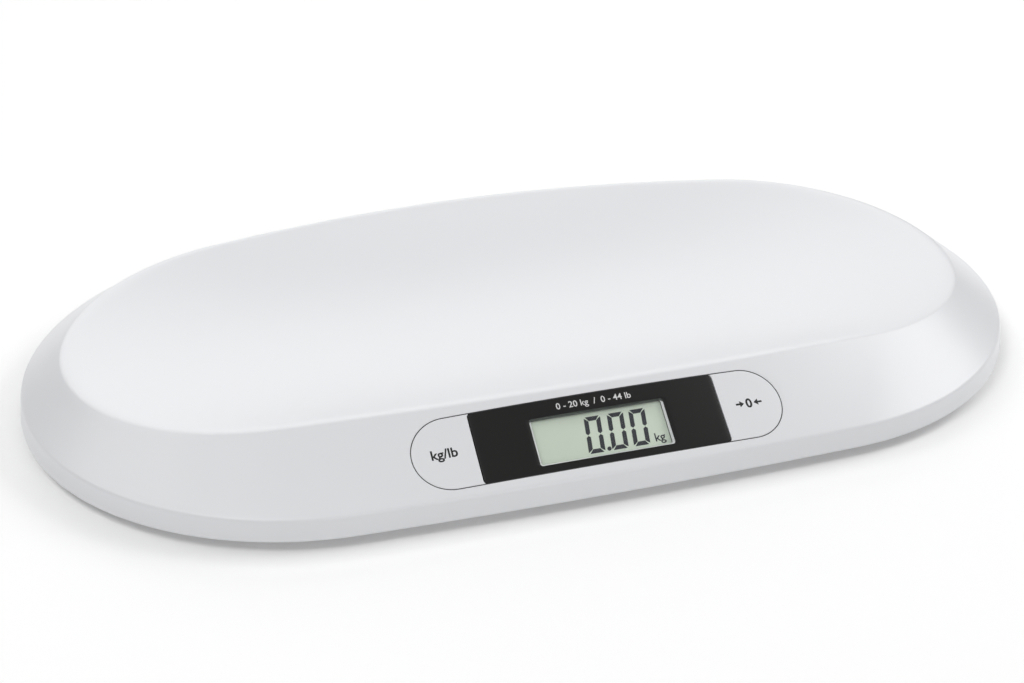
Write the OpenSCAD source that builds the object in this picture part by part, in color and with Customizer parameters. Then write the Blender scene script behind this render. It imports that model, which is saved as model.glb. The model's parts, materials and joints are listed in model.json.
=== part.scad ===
// Digital baby weighing scale, 20 kg class. Units: millimetres, +Z up.
// Origin: on the table, under the middle of the scale. The display faces -Y.

/* [Body] */
// Overall length, at the foot of the side band
body_l = 550; // [520:5:600]
// Overall depth from front to back, at the foot of the side band
body_d = 310; // [300:2:330]
// Height of the band's lower edge above the table
foot_gap = 6; // [5:0.5:9]
// Height of the upright band around the edge
band_h = 11; // [9:0.5:14]
// How far the band draws in from its foot to its top
band_draft = 1.5; // [0.5:0.25:3]
// How much half the depth exceeds the radius of the rounded ends
body_bow = 2.4; // [1.6:0.2:6]
// Wall of the top shell
wall = 2.5; // [2.2:0.1:3]
// Rounding of the edge between band and skirt
band_round = 1.5; // [0.5:0.25:3]

/* [Tray] */
// Length of the tray at its rim
tray_l = 500; // [480:5:510]
// Depth of the tray from front to back at its rim
tray_d = 230; // [216:2:236]
// How much half the tray's depth exceeds the radius of its ends
tray_bow = 10; // [6:0.5:16]
// How far the tray sits behind the middle of the body
tray_back = 2.5; // [0:0.5:4]
// Height of the rim's corner above the table, halfway along
rim_h = 45; // [43:0.5:52]
// How far the rim dips towards the two ends
rim_dip = 10.5; // [6:0.5:12]
// Height of the tray's floor above the table, in the middle
keel_h = 25.5; // [25:0.5:28]
// Rounding of the rim
rim_round = 4; // [2:0.5:6]
// Depth of the ribs under the tray
rib_h = 3; // [2:0.5:3.5]
// Thickness of the ribs
rib_t = 1.6; // [1.2:0.1:2]

/* [Display panel] */
// Length of the stadium-shaped opening in the front skirt
panel_l = 190; // [184:1:196]
// Height of the opening, measured up the slope
panel_h = 37.4; // [36:0.2:39]
// Offset of the panel to the right of the middle
panel_x = -2; // [-6:1:6]
// Length of the black bezel between the two keys
bezel_l = 125.6; // [120:0.4:130]
// Width of the window in the bezel
window_w = 69; // [64:0.5:72]
// Height of the window, measured up the slope
window_h = 25; // [22:0.5:26]
// How far the window's middle lies below the panel's middle
window_drop = 2; // [0:0.25:2.5]
// Gap around the bezel and the keys
panel_gap = 0.3; // [0.2:0.05:0.5]
// Travel of the keys
key_travel = 0.5; // [0.3:0.1:0.6]
// Width of the flange that keeps a key in the shell
key_flange = 1.4; // [1:0.1:2]

/* [Electronics] */
// How far the circuit board runs past each end of the panel
board_past = 9; // [8:0.5:11]
// Height of the circuit board
board_h = 34; // [32:0.5:35]
// Thickness of the circuit board
board_t = 1.6; // [1.2:0.2:2]
// Thickness of the liquid crystal glass
lcd_t = 2.8; // [2.2:0.1:3]
// Thickness of the clear pane in front of it
pane_t = 1.2; // [1:0.1:1.5]
// Depth of the pane below the face of the bezel
pane_in = 1.6; // [1.2:0.1:2]
// Side of the square key switches
switch_w = 6; // [6:0.2:7]
// Height of the key switches without their plungers
switch_h = 3.5; // [3:0.1:3.6]
// Diameter of the switch plungers
plunger_d = 3.5; // [3:0.1:4]

/* [Feet and load cells] */
// Distance of the feet from the two ends of the body
foot_inset_x = 105; // [95:1:115]
// Distance of the feet from the front and the back of the body
foot_inset_y = 63; // [60:1:68]
// Diameter of the feet
foot_d = 38; // [34:1:39]
// Thickness of the rubber pads
pad_t = 2.5; // [2:0.25:3]
// Side of the square load cells
cell_w = 34; // [32:1:36]
// Thickness of the load cells' steel
cell_t = 1.6; // [1.5:0.1:2]
// How far a foot rises under the full load
foot_travel = 0.5; // [0.3:0.1:0.6]

/* [Battery bay] */
// Diameter of a cell, size AAA
battery_d = 10.5; // [10:0.1:10.5]
// Length of a cell with its button
battery_l = 44.5; // [44:0.1:44.8]
// Distance of the bay behind the middle of the body
bay_y = 45; // [43:1:48]
// Clearance around the battery door
door_gap = 0.4; // [0.3:0.05:0.6]

/* [Base] */
// Thickness of the base cover
base_t = 2; // [1.8:0.1:2.4]
// Height of the base cover's underside above the band's lower edge
base_in = 1; // [0.5:0.1:1.5]
// Diameter of the case screws
screw_d = 3; // [2.6:0.1:3.4]

/* [Hidden] */

// Colours
shell_white = [0.93, 0.93, 0.95];
panel_black = [0.16, 0.16, 0.16];
lcd_green = [0.70, 0.74, 0.70];
board_green = [0.13, 0.38, 0.24];
steel = [0.75, 0.76, 0.78];
rubber_grey = [0.25, 0.25, 0.26];

// Fits and overlaps
touch = 0.05; // between pieces that are pressed together
slide_fit = 0.05; // radial, round a pin that slides or a screw
eps = 0.5; // how far cutters and fused solids run past a face
$fn = 48;

// ---- Plan outlines: an oval of two end arcs and two long side arcs ----
end_n = 36; // segments of an end arc
side_n = 16; // segments of a side arc
ring_n = 2 * (end_n + side_n);

// Distance from the middle to the centre of an end arc
function end_c(a, b, bow) = a - (b - bow);
// Distance of a side arc's centre beyond the long axis
function side_c(a, b, bow) = (pow(end_c(a, b, bow), 2) - bow * bow) / (2 * bow);
// Normal angle where the two arcs meet
function join_angle(a, b, bow) = atan2(side_c(a, b, bow), end_c(a, b, bow));

function end_pt(a, b, bow, q) = let (r = b - bow) [end_c(a, b, bow) + r * cos(q), r * sin(q)];
function side_pt(a, b, bow, q) = let (d = side_c(a, b, bow)) [(b + d) * cos(q), (b + d) * sin(q) - d];

// Counter-clockwise from the front of the right end
function oval(a, b, bow) =
    let (th = join_angle(a, b, bow), turn = 2 * th / end_n, side = (180 - 2 * th) / side_n)
    concat(
        [for (i = [0:end_n - 1]) end_pt(a, b, bow, i * turn - th)],
        [for (i = [0:side_n - 1]) side_pt(a, b, bow, th + i * side)],
        [for (i = [0:end_n - 1]) -end_pt(a, b, bow, i * turn - th)],
        [for (i = [0:side_n - 1]) -side_pt(a, b, bow, th + i * side)]
    );

// Half the depth of the oval at a place x along it
function oval_half(a, b, bow, x) =
    let (
        c = end_c(a, b, bow),
        d = side_c(a, b, bow),
        joint_x = (b + d) * c / norm([c, d])
    )
    abs(x) < joint_x ? sqrt(pow(b + d, 2) - x * x) - d
    : sqrt(max(0, pow(b - bow, 2) - pow(abs(x) - c, 2)));

// ---- The body's surfaces ----
foot_a = body_l / 2;
foot_b = body_d / 2;
band_a = foot_a - band_draft;
band_b = foot_b - band_draft;
tray_a = tray_l / 2;
tray_b = tray_d / 2;
band_z = foot_gap + band_h;

// Height of the rim's corner and of the tray's centre line
rim_flat = 0.2; // how much the dip eases off towards the ends
function rim_z(x) =
    let (u = x / tray_a)
    rim_h - rim_dip * ((1 + rim_flat) * u * u - rim_flat * pow(u, 4));
function keel_z(x) = keel_h + (rim_z(tray_a) - keel_h) * pow(abs(x) / tray_a, 3);
// Height of the tray: an arc across, from rim to rim
function tray_z(x, y) =
    let (
        half = oval_half(tray_a, tray_b, tray_bow, x),
        v = half < 0.01 ? 0 : (y - tray_back) / half
    )
    keel_z(x) + (rim_z(x) - keel_z(x)) * min(1, v * v);

// Slope of the front skirt, halfway along
skirt_run = band_b - tray_b + tray_back;
skirt_rise = rim_h - band_z;
skirt_slope = atan2(skirt_rise, skirt_run);
under = 1.04 * wall; // the tray's wall, measured upright

function at_z(ring, z) = [for (p = ring) [p.x, p.y, z]];
foot_ring = at_z(oval(foot_a, foot_b, body_bow), foot_gap);
band_ring = at_z(oval(band_a, band_b, body_bow), band_z);
rim_ring = [for (p = oval(tray_a, tray_b, tray_bow)) [p.x, p.y + tray_back, rim_z(p.x)]];
// The tray at a share s of the way from its middle to its rim
function tray_ring(s, drop = 0) = [
    for (p = oval(tray_a, tray_b, tray_bow))
        let (x = s * p.x, y = s * p.y + tray_back) [x, y, tray_z(x, y) - drop]
];
tray_steps = [0.94, 0.86, 0.76, 0.64, 0.5, 0.34, 0.17];

// Inside of the wall
foot_in = at_z(oval(foot_a - wall, foot_b - wall, body_bow), foot_gap);
band_in = at_z(
    oval(band_a - wall, band_b - wall, body_bow),
    band_z - wall * (1 / cos(skirt_slope) - tan(skirt_slope))
);
rim_in = [for (p = rim_ring) p - [0, 0, 1.1 * wall]];

function unit(v) = v / norm(v);
// A corner c between p and q, rounded over the distance r, at share t of the turn
function rounded(p, c, q, r, t) =
    let (a = c + r * unit(p - c), b = c + r * unit(q - c))
    (1 - t) * (1 - t) * a + 2 * t * (1 - t) * c + t * t * b;
function rounded_ring(lower, corner, upper, r, t) =
    [for (i = [0:ring_n - 1]) rounded(lower[i], corner[i], upper[i], r, t)];

// Closed surface from one pole through the rings to the other
module loft(pole_1, rings, pole_2) {
    n = len(rings[0]);
    m = len(rings);
    points = concat([pole_1], [for (ring = rings) each ring], [pole_2]);
    function id(k, i) = 1 + k * n + i % n;
    faces = concat(
        [for (i = [0:n - 1]) [0, id(0, i), id(0, i + 1)]],
        [for (k = [0:m - 2], i = [0:n - 1]) [id(k, i), id(k + 1, i), id(k + 1, i + 1)]],
        [for (k = [0:m - 2], i = [0:n - 1]) [id(k, i), id(k + 1, i + 1), id(k, i + 1)]],
        [for (i = [0:n - 1]) [id(m - 1, i), m * n + 1, id(m - 1, i + 1)]]
    );
    polyhedron(points, faces);
}

// ---- The display panel's frame: X along the panel, Y up the slope, Z out ----
panel_mid_y = -(band_b - skirt_run / 2);
panel_mid_z = band_z + skirt_rise / 2;
function slope_pt(u, v, w) = [
    panel_x + u,
    panel_mid_y + v * cos(skirt_slope) - w * sin(skirt_slope),
    panel_mid_z + v * sin(skirt_slope) + w * cos(skirt_slope)
];
module on_panel(u = 0, v = 0, w = 0) {
    translate([panel_x, panel_mid_y, panel_mid_z]) rotate([skirt_slope, 0, 0]) translate([u, v, w])
        children();
}

// Stack behind the face of the panel, as depths below it
key_hide = wall + 0.6; // depth at which the flanges start
flange_t = 1.2;
key_skin = 2;
key_wall = 1.8;
pane_back = pane_in + pane_t;
lcd_front = pane_back + 2 * touch;
lcd_back = lcd_front + lcd_t;
board_front = 10.5;
board_back = board_front + board_t;
board_l = panel_l + 2 * board_past;
switch_top = board_front - switch_h;
plunger_out = 0.8;
key_u = panel_l / 2 - panel_h / 2 + 2.5; // middle of a key, from the panel's middle
post_v = 11.5; // guide posts of a key, above and below its middle
post_d = 2.4;
board_hole_u = board_l / 2 - 4;
board_hole_v = board_h / 2 - 4;
board_screw_d = 2.2;

// The skirt's wall between two depths, along the panel's depth
module skirt_slab(from, to) {
    first = 2 * end_n + side_n;
    inward = [0, sin(skirt_slope), -cos(skirt_slope)];
    function corner(ring, i, t) = ring[(first + i) % ring_n] + t * inward;
    columns = [
        for (i = [0:side_n]) [
            corner(band_ring, i, to), corner(rim_ring, i, to),
            corner(rim_ring, i, from), corner(band_ring, i, from)
        ]
    ];
    // both faces are split like the shell's, from the band up to the next point of the rim
    function id(i, j) = 4 * i + j;
    faces = concat(
        [[0, 1, 2], [0, 2, 3]],
        [for (i = [0:side_n - 1]) each [
            [id(i, 0), id(i + 1, 0), id(i + 1, 1)], [id(i, 0), id(i + 1, 1), id(i, 1)],
            [id(i, 1), id(i + 1, 1), id(i + 1, 2)], [id(i, 1), id(i + 1, 2), id(i, 2)],
            [id(i, 2), id(i + 1, 2), id(i, 3)], [id(i + 1, 2), id(i + 1, 3), id(i, 3)],
            [id(i, 3), id(i + 1, 3), id(i + 1, 0)], [id(i, 3), id(i + 1, 0), id(i, 0)]
        ]],
        [[id(side_n, 0), id(side_n, 3), id(side_n, 2)], [id(side_n, 0), id(side_n, 2), id(side_n, 1)]]
    );
    polyhedron([for (column = columns) each column], faces);
}

// A column that stands on the panel's plane, through all its depth
module through_panel(from = 14, to = 6) {
    on_panel(0, 0, -from) linear_extrude(from + to) children();
}

module stadium(l, h) {
    for (side = [-1, 1])
        translate([side * (l - h) / 2, 0]) circle(h / 2);
    square([l - h, h], center = true);
}

module round_rect(w, h, r) {
    square([w - 2 * r, h], center = true);
    square([w, h - 2 * r], center = true);
    for (x = [-1, 1], y = [-1, 1])
        translate([x * (w / 2 - r), y * (h / 2 - r)]) circle(r);
}

// Outline of a key: what the stadium has beyond the bezel. grow widens it all round
module key_outline(side, grow) {
    inner = bezel_l / 2 + panel_gap - grow;
    intersection() {
        stadium(panel_l + 2 * grow, panel_h + 2 * grow);
        translate([side > 0 ? inner : -inner - panel_l, -panel_h]) square([panel_l, 2 * panel_h]);
    }
}

// ---- Base levels ----
rib_pitch = 0.22 * tray_a; // of the ribs across, under the tray and on the base
base_z = foot_gap + base_in;
base_top = base_z + base_t;
seat_h = 2; // seats of the load cells above the base
seat_z = base_top + seat_h;
cell_top = seat_z + cell_t;
holder_w = cell_w + 12;
holder_h = cell_t + 3;
holder_top = seat_z + holder_h;
cell_fit = 0.3; // around a load cell in its holder
foot_x = foot_a - foot_inset_x;
foot_y = foot_b - foot_inset_y;
foot_places = [[-foot_x, -foot_y], [foot_x, -foot_y], [-foot_x, foot_y], [foot_x, foot_y]];
foot_hole_d = foot_d + 2;
foot_top = base_z - foot_travel; // the foot's rim stays below the base
foot_boss_d = 12;
rivet_d = 4;
pad_in = 0.8; // depth of the pad's recess in the foot
cell_screw_d = 2.5;
cell_screw_at = holder_w / 2 - 3;
lean_x = holder_w / 2 - 4.6; // posts of the shell that bear on the holders
gauge_y = 7; // middle of a cell's strain gauge, towards the middle of the case
gauge_h = 0.8;

// Case screws, as places on the base
boss_d = 7;
screw_inset_x = 52;
screw_end_y = 38;
screw_mid_x = 100;
screw_mid_y = 82;
screw_places = [
    for (x = [-1, 1], y = [-1, 1]) each
        [[x * (foot_a - screw_inset_x), y * screw_end_y], [x * screw_mid_x, y * screw_mid_y]]
];
tube_top = base_top + 3; // the base's screw tubes meet the shell's bosses here
head_d = 2 * screw_d;
head_h = 2;
head_z = base_z + 0.4;
screw_l = 14;

// ---- Battery bay ----
battery_gap = 0.5;
battery_pitch = battery_d + battery_gap;
contact_room = 3.6; // for the contacts at each end of the cells
bay_in_l = battery_l + 2 * contact_room;
bay_in_w = 4 * battery_pitch + battery_gap;
bay_wall = 1.6;
ledge = 2.2; // the door rests on it
door_l = bay_in_l + 2 * ledge;
door_w = bay_in_w + 2 * ledge;
bay_out_l = door_l + 2 * (door_gap + bay_wall);
bay_out_w = door_w + 2 * (door_gap + bay_wall);
battery_z = base_top + battery_d / 2 + 0.2;
bay_roof_z = battery_z + battery_d / 2 + 0.2;
bay_top = bay_roof_z + 1.2;
tab_l = 2.4; // the door's two tabs, beyond its front edge
tab_w = 8;
tab_t = 1.2;
tab_x = door_l / 4;
bead_d = base_t + 0.4; // the door's rounded front edge, on which it turns
bead_y = bay_y - door_w / 2 + bead_d / 2;
bead_z = base_top - bead_d / 2 - 0.1;
function battery_y(i) = bay_y + (i - 1.5) * battery_pitch;

// ================= Mouldings =================

// The outer skin: band, sloping skirt, rounded rim and the trough of the tray
module tray_skin() {
    inner_tray = [for (i = [len(tray_steps) - 1:-1:0]) tray_ring(tray_steps[i], under)];
    outer_tray = [for (s = tray_steps) tray_ring(s)];
    band_edge = [for (t = [0, 0.5, 1]) rounded_ring(foot_ring, band_ring, rim_ring, band_round, t)];
    rim_edge = [
        for (t = [0:0.25:1]) rounded_ring(band_ring, rim_ring, outer_tray[0], rim_round, t)
    ];
    middle = [0, tray_back, tray_z(0, tray_back)];
    loft(
        middle - [0, 0, under],
        concat(inner_tray, [rim_in, band_in, foot_in, foot_ring], band_edge, rim_edge, outer_tray),
        middle
    );
}

// A round column from z up into the middle of the tray's wall
module column(x, y, z, d) {
    top = tray_z(x, y) - under / 2;
    translate([x, y, z]) cylinder(d = d, h = top - z);
}

// A rib across the tray at x, hanging below its wall
module cross_rib(x) {
    half = oval_half(tray_a, tray_b, tray_bow, x) - 14;
    ys = [for (i = [-8:8]) tray_back + half * i / 8];
    top = [for (y = ys) [y, tray_z(x, y) - under / 2]];
    low = [for (i = [16:-1:0]) [ys[i], tray_z(x, ys[i]) - under - rib_h]];
    translate([x - rib_t / 2, 0, 0]) rotate([90, 0, 90]) linear_extrude(rib_t) polygon(concat(top, low));
}

// A rib along the tray at y
module long_rib(y, reach) {
    xs = [for (i = [-10:10]) reach * i / 10];
    top = [for (x = xs) [x, tray_z(x, y) - under / 2]];
    low = [for (i = [20:-1:0]) [xs[i], tray_z(xs[i], y) - under - rib_h]];
    translate([0, y + rib_t / 2, 0]) rotate([90, 0, 0]) linear_extrude(rib_t) polygon(concat(top, low));
}

module top_shell() {
    color(shell_white) difference() {
        union() {
            tray_skin();
            for (side = [-1, 1], i = [1:3]) cross_rib(side * i * rib_pitch);
            long_rib(-0.3 * tray_b, 0.76 * tray_a);
            long_rib(0.74 * tray_b, 0.56 * tray_a);
            for (p = screw_places) column(p.x, p.y, tube_top + touch, boss_d);
            for (p = foot_places, side = [-1, 1])
                column(p.x + side * lean_x, p.y, holder_top + touch, boss_d);
            for (u = [-1, 1], v = [-1, 1])
                on_panel(u * board_hole_u, v * board_hole_v, -board_front + touch)
                    cylinder(d = 6, h = board_front - wall - 1.2);
        }
        through_panel() stadium(panel_l + 2 * panel_gap, panel_h + 2 * panel_gap);
        for (p = screw_places)
            translate([p.x, p.y, tube_top - eps])
                cylinder(d = screw_d + 2 * slide_fit, h = head_z + head_h + screw_l - tube_top + 2 * eps);
        for (u = [-1, 1], v = [-1, 1])
            on_panel(u * board_hole_u, v * board_hole_v, -board_front - eps)
                cylinder(d = board_screw_d + 2 * slide_fit, h = 5.5 + eps);
    }
}

module base_plate_outline(inset) {
    polygon(oval(foot_a - wall - inset, foot_b - wall - inset, body_bow));
}

module base_cover() {
    edge = 0.6; // clearance to the shell's band
    rib_top = tube_top - 0.3;
    color(shell_white) difference() {
        union() {
            translate([0, 0, base_z]) linear_extrude(base_t) base_plate_outline(edge);
            // the lip that stiffens the edge
            translate([0, 0, base_top - eps]) linear_extrude(4 + eps) difference() {
                base_plate_outline(edge + 0.6);
                base_plate_outline(edge + 0.6 + rib_t);
            }
            // ribs across and along
            translate([0, 0, base_top - eps]) linear_extrude(rib_top - base_top + eps) {
                for (side = [-1, 1], i = [1:2])
                    translate([side * i * rib_pitch, 0]) square([rib_t, 2 * (foot_y - 8)], center = true);
                for (y = [-foot_y / 2, bay_y - bay_out_w / 2 - 8, bay_y + bay_out_w / 2 + 10])
                    translate([0, y]) square([2 * (foot_x - 32), rib_t], center = true);
            }
            // seats of the load cells
            for (p = foot_places)
                translate([p.x, p.y, base_top - eps])
                    linear_extrude(seat_h + eps) round_rect(holder_w, holder_w, 3);
            // screw tubes
            for (p = screw_places)
                translate([p.x, p.y, base_top - eps]) cylinder(d = boss_d + 3, h = tube_top - base_top + eps);
            // battery bay
            translate([0, bay_y, base_top - eps])
                linear_extrude(bay_top - base_top + eps) round_rect(bay_out_l, bay_out_w, 2);
        }
        for (p = foot_places)
            translate([p.x, p.y, base_z - eps]) cylinder(d = foot_hole_d, h = seat_z - base_z + 2 * eps);
        for (p = foot_places, side = [-1, 1])
            translate([p.x + side * cell_screw_at, p.y + side * cell_screw_at, base_z + 0.6])
                cylinder(d = cell_screw_d + 2 * slide_fit, h = seat_z - base_z);
        for (p = screw_places) {
            translate([p.x, p.y, base_z - eps]) cylinder(d = head_d + 0.6, h = head_z + head_h - base_z + eps);
            translate([p.x, p.y, base_z]) cylinder(d = screw_d + 4 * slide_fit, h = tube_top - base_z + eps);
        }
        // opening of the door, and the room for the cells
        translate([0, bay_y, base_z - eps]) linear_extrude(base_t + eps) door_outline(door_gap);
        translate([-bay_in_l / 2, bay_y - bay_in_w / 2, base_top - eps])
            cube([bay_in_l, bay_in_w, bay_roof_z - base_top + eps]);
        // slots in which the door's tabs turn
        for (side = [-1, 1])
            translate([side * tab_x - tab_w / 2 - 0.5, bay_y - door_w / 2 - tab_l - 0.6, base_top])
                cube([tab_w + 1, tab_l + 0.6 + ledge + eps, 3 * tab_t]);
    }
}

// Plan of the door, square at its front corners. grow widens it all round
module door_outline(grow) {
    round_rect(door_l + 2 * grow, door_w + 2 * grow, 3);
    translate([0, -door_w / 4]) square([door_l + 2 * grow, door_w / 2 + 2 * grow], center = true);
}

module battery_door() {
    grip_w = 16; // the spring tongue with its thumb hollow
    color(shell_white) translate([0, bay_y, 0]) difference() {
        union() {
            translate([0, 0, base_z]) linear_extrude(base_t) difference() {
                door_outline(0);
                translate([0, -door_w / 2]) square([door_l + 1, bead_d + 1], center = true);
            }
            translate([0, bead_y - bay_y, bead_z]) rotate([0, 90, 0])
                cylinder(d = bead_d, h = door_l, center = true);
            for (side = [-1, 1]) {
                translate([side * tab_x - tab_w / 2, -door_w / 2 - tab_l, base_top + touch])
                    cube([tab_w, tab_l + ledge + 2, tab_t]);
                translate([side * tab_x - tab_w / 2, -door_w / 2 + ledge + door_gap, base_top - eps])
                    cube([tab_w, 2 - door_gap, tab_t + eps]);
            }
        }
        for (side = [-1, 1])
            translate([side * grip_w / 2 - 0.5, door_w / 2 - 9, base_z - eps]) cube([1, 12, base_t + 2 * eps]);
        translate([0, door_w / 2 - 4.5, base_z - 4.2]) rotate([0, 90, 0])
            cylinder(r = 5.2, h = grip_w - 6, center = true);
    }
}

// ================= Batteries and contacts =================

// A cell lies along X, its button towards +X or -X
module battery(i) {
    dir = i % 2 == 0 ? 1 : -1;
    can_l = battery_l - 1;
    translate([0, battery_y(i), battery_z]) rotate([0, 90 * dir, 0]) translate([0, 0, -battery_l / 2]) {
        color([0.2, 0.22, 0.25]) cylinder(d = battery_d, h = can_l);
        color(steel) cylinder(d = 3.8, h = battery_l);
    }
}

// A contact at one end of the bay: sprung coils touch the cells' flat ends
contact_t = 0.4;
module contact_plate(end, first, last) {
    x = end * (bay_in_l / 2 - contact_t / 2 - touch);
    y_1 = battery_y(first) - battery_d / 2 + 1;
    y_2 = battery_y(last) + battery_d / 2 - 1;
    translate([x - contact_t / 2, y_1, base_top + 1.2])
        cube([contact_t, y_2 - y_1, bay_roof_z - base_top - 1.6]);
}
module contact_button(end, i) {
    room = contact_room - contact_t - touch;
    has_button = (i % 2 == 0 ? 1 : -1) == end;
    x = end * (bay_in_l / 2 - touch - contact_t + 0.1);
    translate([x, battery_y(i), battery_z]) rotate([0, -90 * end, 0]) {
        if (has_button) {
            cylinder(d = 5, h = room);
        } else {
            for (step = [0:3])
                translate([0, 0, step * room / 4]) cylinder(d = 8 - step, h = room / 4 + 0.1);
        }
    }
}
module contact(end, first, last) {
    color(steel) {
        contact_plate(end, first, last);
        for (i = [first:last]) contact_button(end, i);
    }
}

// ================= Display =================

// The hole over the glass, which flares towards the face
module flared_window() {
    flare = 1.2; // on each side, at the face
    function corners(w, h, z) = [for (p = [[-1, -1], [1, -1], [1, 1], [-1, 1]]) [p.x * w / 2, p.y * h / 2, z]];
    reach = (pane_in + eps) / pane_in;
    polyhedron(
        concat(
            corners(window_w, window_h, -pane_in),
            corners(window_w + 2 * flare * reach, window_h + 2 * flare * reach, eps)
        ),
        [
            [0, 1, 2], [0, 2, 3], [4, 6, 5], [4, 7, 6],
            for (i = [0:3]) each [[i, i + 4, (i + 1) % 4], [(i + 1) % 4, i + 4, (i + 1) % 4 + 4]]
        ]
    );
}

module display_bezel() {
    rim = 3; // how far it reaches behind the shell, above and below
    recess = [window_w + 7, window_h + 5.6];
    color(panel_black) difference() {
        union() {
            intersection() {
                skirt_slab(0, key_hide + flange_t);
                through_panel() round_rect(bezel_l, panel_h, 2);
            }
            intersection() {
                skirt_slab(key_hide, key_hide + flange_t);
                through_panel() square([bezel_l - 8, panel_h + 2 * rim], center = true);
            }
        }
        on_panel(0, -window_drop) flared_window();
        on_panel(0, -window_drop, -14) linear_extrude(14 - pane_in) square(recess, center = true);
    }
}

// A slab along the panel's plane: its depth, thickness and drop below the panel's middle
module panel_slab(size, front, t, drop = window_drop) {
    on_panel(0, -drop, -front - t) linear_extrude(t) square(size, center = true);
}

module display_window() {
    color([0.9, 0.95, 0.95, 0.35]) panel_slab([window_w + 6.6, window_h + 5.2], pane_in + touch, pane_t);
}

lcd_size = [window_w + 6, window_h + 5];
module lcd_glass() {
    color(lcd_green) {
        panel_slab(lcd_size, lcd_front, lcd_t / 2);
        panel_slab([lcd_size.x, lcd_size.y - 5], lcd_front, lcd_t);
    }
}

zebra_w = 2;
zebra_v = lcd_size.y / 2 - 1.3;
module zebra(side) {
    front = lcd_front + lcd_t / 2;
    color([0.75, 0.45, 0.55]) on_panel(0, side * zebra_v - window_drop, -board_front)
        linear_extrude(board_front - front) square([lcd_size.x - 8, zebra_w], center = true);
}

module lcd_holder() {
    front = key_hide + flange_t + 0.8;
    out = [lcd_size.x + 5, lcd_size.y + 2.8];
    color(shell_white) difference() {
        panel_slab(out, front, board_front - front);
        on_panel(0, -window_drop, -lcd_back) linear_extrude(10)
            square([lcd_size.x + 0.4, lcd_size.y + 0.4], center = true);
        on_panel(0, -window_drop, -board_front - eps) linear_extrude(10)
            square([lcd_size.x - 7, lcd_size.y - 9], center = true);
        for (side = [-1, 1])
            on_panel(0, side * zebra_v - window_drop, -board_front - eps) linear_extrude(10)
                square([lcd_size.x - 7.6, zebra_w + 0.2], center = true);
    }
}

module main_board() {
    color(board_green) difference() {
        panel_slab([board_l, board_h], board_front, board_t, 0);
        for (u = [-1, 1], v = [-1, 1]) {
            on_panel(u * board_hole_u, v * board_hole_v, -board_back - eps)
                cylinder(d = board_screw_d + 2 * slide_fit, h = board_t + 2 * eps);
            on_panel(u * key_u, v * post_v, -board_back - eps)
                cylinder(d = post_d + 2 * slide_fit, h = board_t + 2 * eps);
        }
    }
}

// The blob of resin over the controller
module controller_chip() {
    blob_r = 8;
    blob_h = 1.8;
    color([0.08, 0.08, 0.08]) on_panel(0, 0, -board_back) rotate([180, 0, 0]) rotate_extrude()
        polygon(concat([[0, 0]], [for (q = [0:15:90]) [blob_r * cos(q), blob_h * sin(q)]]));
}

module screw(d, l, head) {
    cylinder(d = d, h = l);
    translate([0, 0, -0.7 * d]) cylinder(d = head, h = 0.7 * d);
}

module board_screws() {
    color(steel) for (u = [-1, 1], v = [-1, 1])
        on_panel(u * board_hole_u, v * board_hole_v, -board_back)
            screw(board_screw_d, board_t + 5, 2 * board_screw_d);
}

// ================= Keys =================

// A round pin under the skin of a key, down to a depth
module key_pin(side, v, d, depth) {
    intersection() {
        on_panel(side * key_u, v, -depth) cylinder(d = d, h = depth);
        skirt_slab(key_skin / 2, board_back + 4);
    }
}

// A hollow cap, open at the back, with a flange around it except along the bezel
module key_cap(side) {
    color(shell_white) {
        difference() {
            union() {
                intersection() {
                    skirt_slab(0, key_hide + flange_t / 2);
                    through_panel() key_outline(side, 0);
                }
                intersection() {
                    skirt_slab(key_hide, key_hide + flange_t);
                    through_panel() difference() {
                        key_outline(side, key_flange);
                        translate([-side * panel_l / 2 + side * (bezel_l / 2 + panel_gap), 0])
                            square([panel_l, 2 * panel_h], center = true);
                    }
                }
            }
            intersection() {
                skirt_slab(key_skin, key_hide + 2 * flange_t);
                through_panel() key_outline(side, -key_wall);
            }
        }
        // the stem over the switch, and two posts that slide in the board
        key_pin(side, 0, 5, switch_top - plunger_out);
        for (v = [-1, 1]) key_pin(side, v * post_v, post_d, board_back + 1.5);
    }
}

module plunger(side) {
    depth = 1; // inside the switch
    color([0.1, 0.1, 0.1]) on_panel(side * key_u, 0, -switch_top - depth)
        cylinder(d = plunger_d, h = depth + plunger_out - touch);
}

module key_switch(side) {
    depth = 1 + key_travel + 0.2;
    color([0.3, 0.3, 0.32]) difference() {
        on_panel(side * key_u, 0, -board_front)
            linear_extrude(switch_h) square(switch_w, center = true);
        on_panel(side * key_u, 0, -switch_top - depth)
            cylinder(d = plunger_d + 2 * slide_fit, h = depth + eps);
    }
}

// ================= Load cells and feet =================

// E-shaped steel plate whose middle tongue carries the foot
module load_cell(i) {
    p = foot_places[i];
    slot = 3;
    tongue = 14;
    bar = 4.5;
    turn = p.y > 0 ? 180 : 0;
    color(steel) translate([p.x, p.y, seat_z]) rotate(turn) {
        difference() {
            linear_extrude(cell_t) difference() {
                square(cell_w, center = true);
                for (side = [-1, 1])
                    translate([side * (tongue + slot) / 2, 2.5])
                        square([slot, cell_w - 2 * bar - 5], center = true);
                translate([0, bar - cell_w / 2 + slot / 2 + 2.5])
                    square([tongue + 2 * slot, slot], center = true);
            }
            translate([0, 0, -eps]) cylinder(d = rivet_d + 2 * slide_fit, h = cell_t + 2 * eps);
        }
        // the strain gauge under its drop of resin
        translate([-4, gauge_y - 3, cell_t - 0.1]) cube([8, 6, gauge_h + 0.1]);
    }
}

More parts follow.
